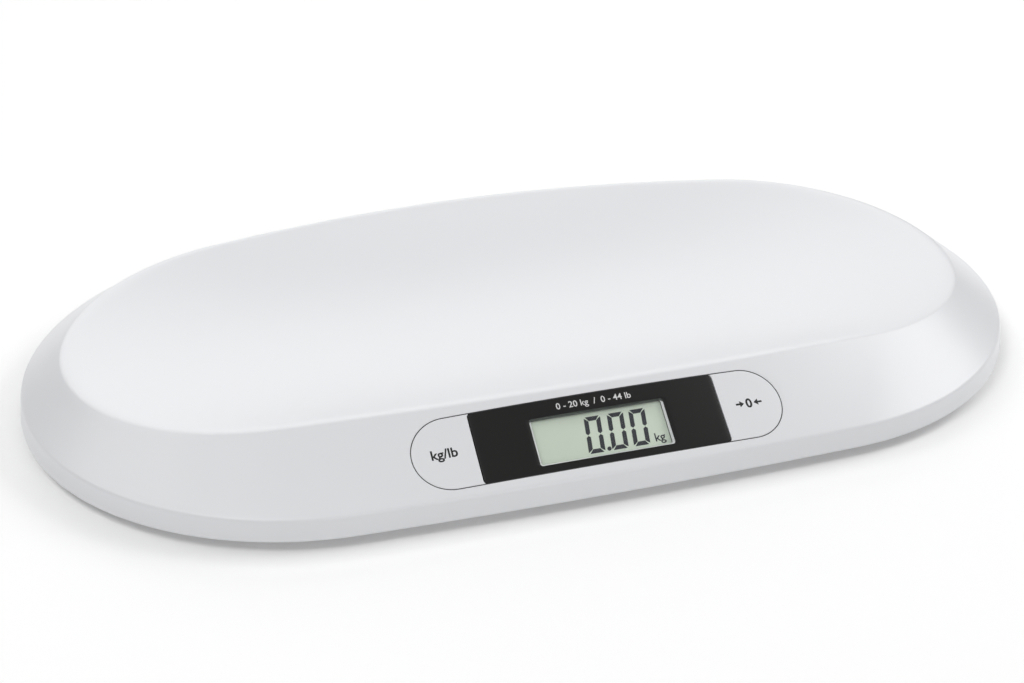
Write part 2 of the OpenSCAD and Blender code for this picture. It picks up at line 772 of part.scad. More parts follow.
module cell_holder(i) {
    p = foot_places[i];
    open = cell_w - 7;
    color(shell_white) translate([p.x, p.y, seat_z]) difference() {
        linear_extrude(holder_h) round_rect(holder_w, holder_w, 3);
        translate([0, 0, -eps]) linear_extrude(cell_t + eps + touch)
            square(cell_w + 2 * cell_fit, center = true);
        linear_extrude(holder_h + eps) square(open, center = true);
        for (side = [-1, 1])
            translate([side * cell_screw_at, side * cell_screw_at, -eps])
                cylinder(d = cell_screw_d + 2 * slide_fit, h = holder_h + 2 * eps);
    }
}

module cell_screws() {
    color(steel) for (p = foot_places, side = [-1, 1])
        translate([p.x + side * cell_screw_at, p.y + side * cell_screw_at, holder_top])
            rotate([180, 0, 0]) screw(cell_screw_d, holder_top - base_z - 1, 1.8 * cell_screw_d);
}

module foot(i) {
    p = foot_places[i];
    bottom = pad_t - pad_in;
    color(shell_white) translate([p.x, p.y, 0]) difference() {
        union() {
            translate([0, 0, bottom]) cylinder(d = foot_d, h = foot_top - bottom);
            translate([0, 0, bottom]) cylinder(d = foot_boss_d, h = seat_z - touch - bottom);
            translate([0, 0, bottom]) cylinder(d = rivet_d, h = cell_top + 1 - bottom);
        }
        translate([0, 0, bottom - eps]) cylinder(d = foot_d - 4, h = pad_in + eps);
    }
}

module foot_pad(i) {
    p = foot_places[i];
    color(rubber_grey) translate([p.x, p.y, 0]) rotate_extrude()
        polygon([
            [0, 0], [foot_d / 2 - 3.5, 0], [foot_d / 2 - 2.5, 1],
            [foot_d / 2 - 2.5, pad_t - touch], [0, pad_t - touch]
        ]);
}

module base_screws() {
    color(steel) for (p = screw_places)
        translate([p.x, p.y, head_z]) {
            cylinder(d = head_d, h = head_h);
            cylinder(d = screw_d, h = head_h + screw_l);
        }
}

// ================= Leads =================

lead_d = 2;
lead_steps = 3; // rings between two points of a route

// Points of a smooth curve through the route
function spline(a, b, c, d, t) =
    0.5 * (2 * b + (c - a) * t + (2 * a - 5 * b + 4 * c - d) * t * t + (3 * b - a - 3 * c + d) * t * t * t);
function smooth(route) = let (n = len(route)) concat(
    [
        for (i = [0:n - 2], k = [0:lead_steps - 1])
            spline(route[max(0, i - 1)], route[i], route[i + 1], route[min(n - 1, i + 2)], k / lead_steps)
    ],
    [route[n - 1]]
);

module lead(route, colour) {
    path = smooth(route);
    n = len(path);
    sides = 8;
    function heading(i) = unit(path[min(n - 1, i + 1)] - path[max(0, i - 1)]);
    function across(i) = unit(cross(heading(i), [0.05, 0.1, 1]));
    rings = [
        for (i = [0:n - 1]) [
            for (k = [0:sides - 1]) let (q = 360 * k / sides)
                path[i] + lead_d / 2 * (cos(q) * across(i) + sin(q) * cross(heading(i), across(i)))
        ]
    ];
    color(colour) loft(path[0], rings, path[n - 1]);
}

// Where a load cell's lead meets the back of the board
function solder_pt(u) = slope_pt(u, 4, -board_back - lead_d / 2 - touch);

// Heights of the leads: on a cell's resin, over its holder, and over the base's ribs
gauge_z = cell_top + gauge_h + lead_d / 2 + touch;
over_z = holder_top + lead_d / 2 + 0.4;
run_z = tube_top + lead_d / 2 + 3;
// From a cell's gauge over its holder and down into the middle of the case
front_route = [
    [foot_x - 1, gauge_y - foot_y, gauge_z],
    [foot_x - 8, gauge_y - foot_y, gauge_z + 1.4],
    [foot_x - 14, gauge_y - foot_y, over_z],
    [foot_x - holder_w / 2 - 1, gauge_y - foot_y, over_z],
    [foot_x - holder_w / 2 - 16, 20 - foot_y, run_z],
    [screw_mid_x, boss_d + 4 - screw_mid_y, run_z],
    [screw_mid_x - 16, 4 - foot_y, run_z]
];
back_route = [
    [foot_x - 1, foot_y - gauge_y, gauge_z],
    [foot_x - 8, foot_y - gauge_y, gauge_z + 1.4],
    [foot_x - 14, foot_y - gauge_y, over_z],
    [foot_x - holder_w / 2 - 1, foot_y - gauge_y, over_z],
    [foot_x / 2, foot_y / 2, run_z],
    [board_l / 3, 0, run_z - 0.6],
    [board_l / 4, -2 * foot_y / 3, run_z]
];
function mirrored(route, side) = [for (p = route) [side * p.x, p.y, p.z]];

module cell_lead(i) {
    side = i % 2 == 0 ? -1 : 1;
    front = i < 2;
    u = side * (front ? 66 : 52) - panel_x;
    lead(concat(mirrored(front ? front_route : back_route, side), [solder_pt(u)]), [0.85, 0.85, 0.85]);
}

module battery_lead(side, colour) {
    plus = side > 0;
    out = plus ? 9 : 5;
    start_y = battery_y(plus ? 3 : 0);
    x = -bay_out_l / 2 - out;
    lead([
        [-bay_out_l / 2 - touch, start_y, run_z],
        [-bay_out_l / 2 - 1.2, start_y, run_z],
        [-bay_out_l / 2 - 2.4, start_y, run_z],
        [x, start_y - 5, run_z - 1],
        [x, start_y / 3, run_z - 1.4],
        [x, -foot_y / 2, run_z - 1.4],
        [x + 2, 4 - foot_y, run_z - 0.5],
        solder_pt(x + 4 - panel_x)
    ], colour);
}

top_shell();
base_cover();
battery_door();
battery(0);  // battery_1
battery(1);  // battery_2
battery(2);  // battery_3
battery(3);  // battery_4
contact(-1, 3, 3);  // contact_plus
contact(-1, 0, 0);  // contact_minus
contact(1, 0, 1);  // contact_bridge_1
contact(-1, 1, 2);  // contact_bridge_2
contact(1, 2, 3);  // contact_bridge_3
display_bezel();
display_window();
lcd_glass();
lcd_holder();
zebra(1);  // zebra_upper
zebra(-1);  // zebra_lower
main_board();
controller_chip();
board_screws();
key_cap(-1);  // unit_key
key_cap(1);  // tare_key
plunger(-1);  // unit_plunger
plunger(1);  // tare_plunger
key_switch(-1);  // unit_switch
key_switch(1);  // tare_switch
load_cell(0);  // load_cell_fl
load_cell(1);  // load_cell_fr
load_cell(2);  // load_cell_bl
load_cell(3);  // load_cell_br
cell_holder(0);  // cell_holder_fl
cell_holder(1);  // cell_holder_fr
cell_holder(2);  // cell_holder_bl
cell_holder(3);  // cell_holder_br
foot(0);  // foot_fl
foot(1);  // foot_fr
foot(2);  // foot_bl
foot(3);  // foot_br
foot_pad(0);  // foot_pad_fl
foot_pad(1);  // foot_pad_fr
foot_pad(2);  // foot_pad_bl
foot_pad(3);  // foot_pad_br
cell_screws();
base_screws();
cell_lead(0);  // cell_lead_fl
cell_lead(1);  // cell_lead_fr
cell_lead(2);  // cell_lead_bl
cell_lead(3);  // cell_lead_br
battery_lead(1, "red");  // battery_lead_plus
battery_lead(-1, "black");  // battery_lead_minus
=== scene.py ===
# %% [markdown]
# # A digital baby weighing scale
# The scale is one long white moulding with a trough-shaped tray, on a flat base with four feet.
# A black panel with a liquid crystal display and two D-shaped keys fills a stadium-shaped opening
# in its front skirt. The CAD frame gives each piece its place. This lesson dresses it: smooth
# surfaces worked out with numpy for what the eye follows, and node materials for everything.

# %% Load the frame
import json
import math

import bpy
import numpy as np
from mathutils import Matrix, Vector


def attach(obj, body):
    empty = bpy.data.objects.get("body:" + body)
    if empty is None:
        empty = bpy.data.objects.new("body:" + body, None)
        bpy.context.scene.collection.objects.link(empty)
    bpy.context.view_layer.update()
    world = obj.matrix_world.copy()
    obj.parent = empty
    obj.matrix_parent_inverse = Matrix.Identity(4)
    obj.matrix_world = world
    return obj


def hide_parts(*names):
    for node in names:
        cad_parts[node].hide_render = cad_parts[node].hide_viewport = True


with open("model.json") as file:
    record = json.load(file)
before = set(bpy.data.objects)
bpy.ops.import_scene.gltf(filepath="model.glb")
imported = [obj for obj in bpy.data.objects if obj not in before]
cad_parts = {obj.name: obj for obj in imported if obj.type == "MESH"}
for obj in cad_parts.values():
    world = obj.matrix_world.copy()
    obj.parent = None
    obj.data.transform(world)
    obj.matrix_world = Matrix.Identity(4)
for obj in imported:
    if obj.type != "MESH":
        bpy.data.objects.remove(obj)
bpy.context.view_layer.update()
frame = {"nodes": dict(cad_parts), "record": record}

mm = 0.001

# %% [markdown]
# ## Camera
# The photograph was taken from the front, a little to the left and about 29 degrees above the
# table. A long lens and a small shift give the same outline. The camera looks at the middle of
# the body, at the height of its lower edge, and is rolled by a quarter of a degree.

# %% Camera
camera_at = Vector((-0.2389, -0.7902, 0.4705))
look_at = Vector((0.0, 0.0, 0.006))
roll = math.radians(-0.233)
forward = (look_at - camera_at).normalized()
level = forward.cross(Vector((0, 0, 1))).normalized()
right = math.cos(roll) * level + math.sin(roll) * level.cross(forward)
upward = right.cross(forward)
camera_data = bpy.data.cameras.new("camera")
camera_data.lens = 59.38
camera_data.sensor_width = 36.0
camera_data.shift_x = -0.01453
camera_data.shift_y = 0.00145
camera_data.clip_start = 0.01
camera = bpy.data.objects.new("camera", camera_data)
turn = Matrix((right, upward, -forward)).transposed().to_4x4()
camera.matrix_world = Matrix.Translation(camera_at) @ turn
bpy.context.scene.collection.objects.link(camera)
bpy.context.scene.camera = camera
bpy.context.scene.view_settings.view_transform = "Standard"
print("camera", [round(v, 3) for v in camera_at])

# %% [markdown]
# ## Helpers for meshes
# Most new shapes are grids of points: rows along one parameter, columns along the other. This
# helper turns points and faces into a piece that rides on a body of the frame.

# %% Mesh helpers
def make_piece(name, points, faces, body, slot, material, replaces=(), sharp=None):
    """A smooth-shaded mesh object that rides on a body. Edges steeper than sharp degrees stay
    crisp."""
    mesh = bpy.data.meshes.new(name)
    mesh.from_pydata(np.asarray(points, float).tolist(), [], faces)
    mesh.validate()
    mesh.shade_smooth()
    if sharp is not None:
        mesh.set_sharp_from_angle(angle=math.radians(sharp))
    mesh.materials.append(material)
    piece = bpy.data.objects.new(name, mesh)
    bpy.context.scene.collection.objects.link(piece)
    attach(piece, body)
    if replaces:
        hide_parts(*replaces)
    print(f"{name}: {len(mesh.vertices)} points, {len(mesh.polygons)} faces")
    return piece


# %% [markdown]
# ## Materials
# All mouldings share one effect: the fine spark-eroded grain of the mould, and a tone that
# drifts by a percent or two. It is a node group with named inputs, placed in each plastic with
# its own values, so one change reaches every moulding.

# %% The grain of a mould
def node(tree, kind, at, **values):
    """A new node with its settings and the values of its input sockets."""
    made = tree.nodes.new(kind)
    made.location = at
    for key, value in values.items():
        if key in made.inputs:
            made.inputs[key].default_value = value
        else:
            setattr(made, key, value)
    return made


def new_group(name, inputs, outputs):
    """An empty shader group with named sockets: name to default value, or name to kind."""
    tree = bpy.data.node_groups.new(name, "ShaderNodeTree")
    for key, value in inputs.items():
        kind = "NodeSocketFloat" if isinstance(value, (int, float)) else "NodeSocketColor"
        socket = tree.interface.new_socket(key, in_out="INPUT", socket_type=kind)
        socket.default_value = value
    for key, kind in outputs.items():
        tree.interface.new_socket(key, in_out="OUTPUT", socket_type=kind)
    return tree, node(tree, "NodeGroupInput", (-900, 0)), node(tree, "NodeGroupOutput", (900, 0))


def moulded_grain():
    """Colour, Roughness and Height of a moulded surface. Colour: the base colour times a slow
    noise. Roughness: the base value plus a fine noise. Height: a fine noise for a Bump node."""
    tree, given, result = new_group(
        "moulded_grain",
        {"Colour": (0.8, 0.8, 0.8, 1), "Drift": 0.02, "Roughness": 0.4, "Mottle": 0.05,
         "Grain": 900.0},
        {"Colour": "NodeSocketColor", "Roughness": "NodeSocketFloat", "Height": "NodeSocketFloat"},
    )
    place = node(tree, "ShaderNodeTexCoord", (-900, -300))
    slow = node(tree, "ShaderNodeTexNoise", (-600, 200), Scale=9.0, Detail=3.0)
    fine = node(tree, "ShaderNodeTexNoise", (-600, -200), Detail=4.0, Roughness=0.6)
    tree.links.new(place.outputs["Object"], slow.inputs["Vector"])
    tree.links.new(place.outputs["Object"], fine.inputs["Vector"])
    tree.links.new(given.outputs["Grain"], fine.inputs["Scale"])
    centred = node(tree, "ShaderNodeMath", (-350, 200), operation="SUBTRACT")
    centred.inputs[1].default_value = 0.5
    share = node(tree, "ShaderNodeMath", (-150, 200), operation="MULTIPLY_ADD")
    share.inputs[2].default_value = 1.0
    tree.links.new(slow.outputs["Fac"], centred.inputs[0])
    tree.links.new(centred.outputs[0], share.inputs[0])
    tree.links.new(given.outputs["Drift"], share.inputs[1])
    tint = node(tree, "ShaderNodeVectorMath", (100, 200), operation="SCALE")
    tree.links.new(given.outputs["Colour"], tint.inputs[0])
    tree.links.new(share.outputs[0], tint.inputs["Scale"])
    tree.links.new(tint.outputs[0], result.inputs["Colour"])
    rough = node(tree, "ShaderNodeMath", (100, -100), operation="SUBTRACT")
    rough.inputs[1].default_value = 0.5
    tree.links.new(fine.outputs["Fac"], rough.inputs[0])
    sum_up = node(tree, "ShaderNodeMath", (300, -100), operation="MULTIPLY_ADD")
    tree.links.new(rough.outputs[0], sum_up.inputs[0])
    tree.links.new(given.outputs["Mottle"], sum_up.inputs[1])
    tree.links.new(given.outputs["Roughness"], sum_up.inputs[2])
    tree.links.new(sum_up.outputs[0], result.inputs["Roughness"])
    tree.links.new(fine.outputs["Fac"], result.inputs["Height"])
    return tree


grain_group = moulded_grain()
print("grain group with", len(grain_group.nodes), "nodes")

# %% A moulded material
def new_material(name):
    """A material with a Principled shader and its output, and nothing else."""
    material = bpy.data.materials.new(name)
    material.use_nodes = True
    tree = material.node_tree
    tree.nodes.clear()
    shader = node(tree, "ShaderNodeBsdfPrincipled", (300, 0))
    output = node(tree, "ShaderNodeOutputMaterial", (650, 0))
    tree.links.new(shader.outputs[0], output.inputs["Surface"])
    return material, tree, shader


def plastic(name, colour, roughness, drift=0.02, mottle=0.05, grain=900.0, bump=0.02, **sockets):
    """A moulded material: the grain group drives colour and roughness, and its height a Bump."""
    material, tree, shader = new_material(name)
    group = node(tree, "ShaderNodeGroup", (-300, 0), node_tree=grain_group)
    values = {"Colour": (*colour, 1), "Drift": drift, "Roughness": roughness, "Mottle": mottle,
              "Grain": grain}
    for key, value in values.items():
        group.inputs[key].default_value = value
    dent = node(tree, "ShaderNodeBump", (0, -250), Strength=bump, Distance=0.1 * mm)
    tree.links.new(group.outputs["Colour"], shader.inputs["Base Color"])
    tree.links.new(group.outputs["Roughness"], shader.inputs["Roughness"])
    tree.links.new(group.outputs["Height"], dent.inputs["Height"])
    tree.links.new(dent.outputs["Normal"], shader.inputs["Normal"])
    for key, value in sockets.items():
        shader.inputs[key.replace("_", " ")].default_value = value
    return material


print("materials before the first plastic:", len(bpy.data.materials))

# %% [markdown]
# The outside is white ABS with a satin mould finish. It is a little cool in tone. The bezel is
# the same plastic in black with a silk-matt face, and the parts inside get the plain finish that
# such parts have.

# %% Plastics, rubber and steel
shell_white = plastic("shell_white", (0.85, 0.858, 0.88), 0.3, drift=0.015, mottle=0.03,
                      bump=0.015)
inner_white = plastic("inner_white", (0.72, 0.72, 0.74), 0.5, drift=0.02, bump=0.1, grain=600.0)
key_white = plastic("key_white", (0.85, 0.858, 0.88), 0.3, drift=0.01, mottle=0.03, bump=0.015)
bezel_black = plastic("bezel_black", (0.012, 0.012, 0.0115), 0.42, drift=0.1, bump=0.08,
                      grain=1500.0, Specular_IOR_Level=0.32)
switch_black = plastic("switch_black", (0.03, 0.03, 0.032), 0.5, drift=0.1, bump=0.1)
resin_black = plastic("resin_black", (0.012, 0.012, 0.013), 0.18, drift=0.1, mottle=0.1,
                      bump=0.15, grain=150.0)
pad_rubber = plastic("pad_rubber", (0.05, 0.05, 0.053), 0.75, drift=0.15, bump=0.3, grain=1200.0)
zebra_rubber = plastic("zebra_rubber", (0.5, 0.22, 0.28), 0.6, drift=0.1, bump=0.1)
battery_jacket = plastic("battery_jacket", (0.03, 0.045, 0.07), 0.25, drift=0.1, bump=0.02)
lead_white = plastic("lead_white", (0.72, 0.72, 0.7), 0.45, drift=0.05, bump=0.05)
lead_red = plastic("lead_red", (0.55, 0.02, 0.02), 0.4, drift=0.05, bump=0.05)
lead_black = plastic("lead_black", (0.015, 0.015, 0.015), 0.4, drift=0.05, bump=0.05)
print_black = plastic("print_black", (0.012, 0.012, 0.013), 0.45, drift=0.1, mottle=0.1, bump=0.05)
print_white = plastic("print_white", (0.75, 0.75, 0.75), 0.45, drift=0.03, bump=0.05)
board_green = plastic("board_green", (0.015, 0.12, 0.05), 0.3, drift=0.2, mottle=0.1,
                      bump=0.1, grain=400.0)


def brushed_steel():
    """Zinc-plated steel: metallic, with a cloudy spangle in tone and roughness."""
    material, tree, shader = new_material("steel")
    place = node(tree, "ShaderNodeTexCoord", (-900, 0))
    spangle = node(tree, "ShaderNodeTexVoronoi", (-600, 150), Scale=350.0)
    tone = node(tree, "ShaderNodeValToRGB", (-300, 150))
    tone.color_ramp.elements[0].color = (0.42, 0.43, 0.45, 1)
    tone.color_ramp.elements[1].color = (0.62, 0.63, 0.64, 1)
    spread = node(tree, "ShaderNodeMapRange", (-300, -100))
    spread.inputs["To Min"].default_value, spread.inputs["To Max"].default_value = 0.25, 0.42
    tree.links.new(place.outputs["Object"], spangle.inputs["Vector"])
    tree.links.new(spangle.outputs["Distance"], tone.inputs["Fac"])
    tree.links.new(spangle.outputs["Distance"], spread.inputs["Value"])
    tree.links.new(tone.outputs["Color"], shader.inputs["Base Color"])
    tree.links.new(spread.outputs["Result"], shader.inputs["Roughness"])
    shader.inputs["Metallic"].default_value = 1.0
    return material


steel = brushed_steel()
print(len(bpy.data.materials), "materials so far")

# %% [markdown]
# The display is a reflective one: a grey-green glass, lit from the front, with dark segments
# that float just under its face. Its tone is a little uneven, as its polariser film is. The
# clear pane in front of it is thin and shows only a faint gloss.

# %% Display glass, segments and pane
def display_glass():
    """Grey-green with a slow drift of tone and a fine speckle."""
    material, tree, shader = new_material("lcd_green")
    place = node(tree, "ShaderNodeTexCoord", (-900, 0))
    drift = node(tree, "ShaderNodeTexNoise", (-650, 150), Scale=25.0, Detail=1.0)
    speckle = node(tree, "ShaderNodeTexNoise", (-650, -150), Scale=4000.0, Detail=2.0)
    both = node(tree, "ShaderNodeMix", (-400, 0), data_type="FLOAT")
    both.inputs[0].default_value = 0.35
    tone = node(tree, "ShaderNodeValToRGB", (-150, 0))
    tone.color_ramp.elements[0].position, tone.color_ramp.elements[1].position = 0.3, 0.7
    tone.color_ramp.elements[0].color = (0.63, 0.715, 0.60, 1)
    tone.color_ramp.elements[1].color = (0.69, 0.775, 0.66, 1)
    tree.links.new(place.outputs["Object"], drift.inputs["Vector"])
    tree.links.new(place.outputs["Object"], speckle.inputs["Vector"])
    tree.links.new(drift.outputs["Fac"], both.inputs[2])
    tree.links.new(speckle.outputs["Fac"], both.inputs[3])
    tree.links.new(both.outputs[0], tone.inputs["Fac"])
    tree.links.new(tone.outputs["Color"], shader.inputs["Base Color"])
    shader.inputs["Roughness"].default_value = 0.35
    return material


def clear_pane():
    """A thin acrylic pane: nearly see-through, so that its alpha is low, and glossy. A faint
    haze of dust varies the roughness."""
    material, tree, shader = new_material("window_clear")
    place = node(tree, "ShaderNodeTexCoord", (-700, 0))
    haze = node(tree, "ShaderNodeTexNoise", (-450, 0), Scale=120.0, Detail=4.0)
    spread = node(tree, "ShaderNodeMapRange", (-200, 0))
    spread.inputs["To Min"].default_value, spread.inputs["To Max"].default_value = 0.03, 0.1
    tree.links.new(place.outputs["Object"], haze.inputs["Vector"])
    tree.links.new(haze.outputs["Fac"], spread.inputs["Value"])
    tree.links.new(spread.outputs["Result"], shader.inputs["Roughness"])
    shader.inputs["Base Color"].default_value = (0.9, 0.93, 0.92, 1)
    shader.inputs["Alpha"].default_value = 0.02
    shader.inputs["Specular IOR Level"].default_value = 0.3
    shader.inputs["IOR"].default_value = 1.49
    return material


def bevelled_acrylic(painted_shade_z, painted_shade_blur=0.2 * mm):
    """The cut edge of the pane: pale grey, since its faces scatter light, with fine tool marks.
    Its head has a painted shade: above the given height its colour turns dark grey-green."""
    material, tree, shader = new_material("pane_edge")
    place = node(tree, "ShaderNodeTexCoord", (-900, 0))
    marks = node(tree, "ShaderNodeTexNoise", (-650, 150), Scale=900.0, Detail=3.0)
    tone = node(tree, "ShaderNodeValToRGB", (-400, 150))
    tone.color_ramp.elements[0].color = (0.66, 0.69, 0.69, 1)
    tone.color_ramp.elements[1].color = (0.80, 0.82, 0.82, 1)
    split = node(tree, "ShaderNodeSeparateXYZ", (-650, -150))
    height = node(tree, "ShaderNodeMapRange", (-400, -150))
    height.inputs["From Min"].default_value = painted_shade_z - painted_shade_blur
    height.inputs["From Max"].default_value = painted_shade_z + painted_shade_blur
    shade = node(tree, "ShaderNodeMix", (-200, 0), data_type="RGBA")
    # Painted shade: the dark grey-green that the head of the pane's edge takes.
    shade.inputs[7].default_value = (0.075, 0.085, 0.08, 1)
    tree.links.new(place.outputs["Object"], marks.inputs["Vector"])
    tree.links.new(marks.outputs["Fac"], tone.inputs["Fac"])
    tree.links.new(place.outputs["Object"], split.inputs["Vector"])
    tree.links.new(split.outputs["Z"], height.inputs["Value"])
    tree.links.new(height.outputs["Result"], shade.inputs[0])
    tree.links.new(tone.outputs["Color"], shade.inputs[6])
    tree.links.new(shade.outputs[2], shader.inputs["Base Color"])
    shader.inputs["Roughness"].default_value = 0.25
    return material


lcd_green = display_glass()
# Above 35 mm the pane's edge gets its painted shade.
pane_edge = bevelled_acrylic(painted_shade_z=35 * mm)
window_clear = clear_pane()
# A dark grey strip behind the pane's bevel: a painted shade along the edge of the glass.
shade_strip_grey = plastic("shade_strip_grey", (0.13, 0.14, 0.135), 0.6, drift=0.1, bump=0.0,
                    Specular_IOR_Level=0.3)
segment_dark = plastic("segment_dark", (0.017, 0.02, 0.028), 0.5, drift=0.15, bump=0.0,
                       Specular_IOR_Level=0.3)
print(len(bpy.data.materials), "materials with those of the display")

# %% [markdown]
# Each slot of the CAD gets the material of its name. They are matched here one by one, and not
# looked up by name, because the import brings plain materials of the same names along.

# %% Materials of the CAD's own pieces
by_slot = {
    "shell_white": shell_white, "inner_white": inner_white, "key_white": key_white,
    "bezel_black": bezel_black, "window_clear": window_clear, "lcd_green": lcd_green,
    "board_green": board_green, "resin_black": resin_black, "switch_black": switch_black,
    "zebra_rubber": zebra_rubber, "steel": steel, "battery_jacket": battery_jacket,
    "pad_rubber": pad_rubber, "lead_white": lead_white, "lead_red": lead_red,
    "lead_black": lead_black,
}
slot_of = {part["node"]: part["material_slot"] for part in frame["record"]["subparts"]}
for name, carried in frame["nodes"].items():
    carried.data.materials.clear()
    carried.data.materials.append(by_slot[slot_of[name]])
print(len(frame["nodes"]), "CAD nodes dressed")

# %% [markdown]
# ## The shape of the body
# Seen from above, the foot, the band's top and the tray's rim are ovals of four arcs: two round
# ends and two long sides that bow out slightly. The rim is also bent: it dips towards both ends.
# The skirt is drawn between the band's top and the rim, and the tray is a trough below the rim.

# %% Ovals
foot_gap, band_h, band_draft, body_bow = 6 * mm, 11 * mm, 1.5 * mm, 2.4 * mm
foot_a, foot_b = 275 * mm, 155 * mm
band_a, band_b = foot_a - band_draft, foot_b - band_draft
tray_a, tray_b, tray_bow, tray_back = 250 * mm, 115 * mm, 10 * mm, 2.5 * mm
rim_h, rim_dip, rim_flat, keel_h = 45 * mm, 10.5 * mm, 0.2, 25.5 * mm
wall, foot_round, band_round = 2.5 * mm, 0.6 * mm, 1.5 * mm
rim_outside, rim_inside = 2.2 * mm, 9 * mm
rim_under, tray_under = 1.1 * wall, 1.04 * wall
band_z = foot_gap + band_h


def oval(a, b, bow, q):
    """Point of an oval at q from 0 to 4: right end, back, left end, front. The ends are arcs of
    radius b - bow about points on the long axis. The sides are arcs of radius b + d about points
    d beyond it, where d makes both arcs meet without a corner."""
    r = b - bow
    c = a - r
    d = (c * c - bow * bow) / (2 * bow)
    th = math.atan2(d, c)
    k = np.minimum(np.floor(q), 3)
    t = q - k
    at_end = (k % 2) == 0
    e, s = th * (2 * t - 1), th + (math.pi - 2 * th) * t
    sign = np.where(k < 2, 1.0, -1.0)
    x = sign * np.where(at_end, c + r * np.cos(e), (b + d) * np.cos(s))
    y = sign * np.where(at_end, r * np.sin(e), (b + d) * np.sin(s) - d)
    return x, y


def half_depth(x):
    """Half the depth of the rim's oval at a place x along it."""
    r = tray_b - tray_bow
    c = tray_a - r
    d = (c * c - tray_bow**2) / (2 * tray_bow)
    joint = (tray_b + d) * c / math.hypot(c, d)
    side = np.sqrt(np.maximum(0, (tray_b + d) ** 2 - x * x)) - d
    end = np.sqrt(np.maximum(0, r * r - (np.abs(x) - c) ** 2))
    return np.where(np.abs(x) < joint, side, end)


def rim_z(x):
    """Height of the rim's corner: it falls with x squared, and eases off with x to the fourth."""
    u = x / tray_a
    return rim_h - rim_dip * ((1 + rim_flat) * u**2 - rim_flat * u**4)


def keel_z(x):
    """Height of the tray's lowest line: it rises to the rim's ends with x cubed."""
    return keel_h + (rim_z(tray_a) - keel_h) * np.abs(x / tray_a) ** 3


def tray_z(x, y):
    """Height of the trough: a parabola across, from the keel up to the rim on both sides."""
    v = (y - tray_back) / np.maximum(half_depth(x), 1e-6)
    return keel_z(x) + (rim_z(x) - keel_z(x)) * np.minimum(1, v * v)


def ring(a, b, z, q):
    """The body's oval with the half sizes a and b, at the height z."""
    x, y = oval(a, b, body_bow, q)
    return np.stack([x, y, np.full_like(x, z)], -1)


def foot_ring(q):
    return ring(foot_a, foot_b, foot_gap, q)


def band_ring(q):
    return ring(band_a, band_b, band_z, q)


def rim_ring(q):
    """The rim's corner: the tray's oval, bent to the rim's height."""
    x, y = oval(tray_a, tray_b, tray_bow, q)
    return np.stack([x, y + tray_back, rim_z(x)], -1)


def tray_ring(q, s, drop=0.0):
    """The rim's oval shrunk to the share s, laid on the trough."""
    x, y = oval(tray_a, tray_b, tray_bow, q)
    x, y = s * x, s * y + tray_back
    return np.stack([x, y, tray_z(x, y) - drop], -1)


def unit(v):
    return v / np.linalg.norm(v, axis=-1, keepdims=True)


def rounded(lower, corner, upper, r, steps, r_upper=None):
    """Rows of a rounded corner: a quadratic curve that leaves the lower side at the distance r
    from the corner and meets the upper side at r_upper, or at r where none is given."""
    start, stop = corner + r * unit(lower - corner), corner + (r_upper or r) * unit(upper - corner)
    return [(1 - t) ** 2 * start + 2 * t * (1 - t) * corner + t * t * stop
            for t in np.linspace(0, 1, steps)]


print("rim", round(float(rim_z(0.0)) / mm, 2), "mm high, ends", round(float(rim_z(tray_a)) / mm, 2))

# %% [markdown]
# ## The panel's frame
# The display panel lies on the front skirt, so it has a frame of its own: u runs along it, v up
# the slope and w out of it. The skirt isn't flat: it is drawn between two curved lines. To put
# something on it at (u, v), its own parameters are found by Newton's method, on whole arrays.

# %% The panel's frame and places on the skirt
panel_l, panel_h, panel_gap, key_at = 190 * mm, 37.4 * mm, 0.45 * mm, 79 * mm
skirt_run, skirt_rise = band_b - tray_b + tray_back, rim_h - band_z
slope = math.atan2(skirt_rise, skirt_run)
panel_origin = np.array([-2 * mm, -(band_b - skirt_run / 2), band_z + skirt_rise / 2])
q_reach, t_reach = 280 * mm, 44 * mm
axis_u = np.array([1.0, 0.0, 0.0])
axis_v = np.array([0.0, math.cos(slope), math.sin(slope)])
axis_w = np.array([0.0, -math.sin(slope), math.cos(slope)])


def panel_point(u, v, w):
    """The point at u along the panel, v up its slope and w out of it."""
    return panel_origin + u[..., None] * axis_u + v[..., None] * axis_v + w[..., None] * axis_w


def skirt_ends(q):
    """Where the skirt's straight part starts above the band's rounding and ends below the rim's."""
    low, high = band_ring(q), rim_ring(q)
    along = unit(high - low)
    return low + band_round * along, high - rim_outside * along


def inner_ends(q):
    """The same for the inside of the wall."""
    drop = wall * (1 / math.cos(slope) - math.tan(slope))
    low = ring(band_a - wall, band_b - wall, band_z - drop, q)
    return low, rim_ring(q) - np.array([0, 0, rim_under])


def between(ends, q, t):
    """The skirt at q round it and at the share t of the way up."""
    low, high = ends(q)
    return low + np.asarray(t)[..., None] * (high - low)


def find_on(ends, u, v, rounds=12, step=1e-5):
    """The skirt's q and t whose point has the panel places u and v: Newton's method with
    slopes taken over a small step. The first guess spreads u and v evenly over the skirt."""
    def off(q, t):
        place = between(ends, q, t) - panel_origin
        return np.stack([place @ axis_u - u, place @ axis_v - v], -1)

    q, t = 3.5 + u / q_reach, 0.5 + v / t_reach
    for _ in range(rounds):
        here = off(q, t)
        by_q, by_t = (off(q + step, t) - here) / step, (off(q, t + step) - here) / step
        det = by_q[..., 0] * by_t[..., 1] - by_q[..., 1] * by_t[..., 0]
        q = q - (here[..., 0] * by_t[..., 1] - here[..., 1] * by_t[..., 0]) / det
        t = t - (by_q[..., 0] * here[..., 1] - by_q[..., 1] * here[..., 0]) / det
    return q, t


def on_skirt(u, v, out=0.0):
    """Points at u and v of the panel, at a height out above the skirt's face."""
    u, v = np.broadcast_arrays(np.asarray(u, float), np.asarray(v, float))
    q, t = find_on(skirt_ends, u, v)
    w = (between(skirt_ends, q, t) - panel_origin) @ axis_w
    return panel_point(u, v, w + out)


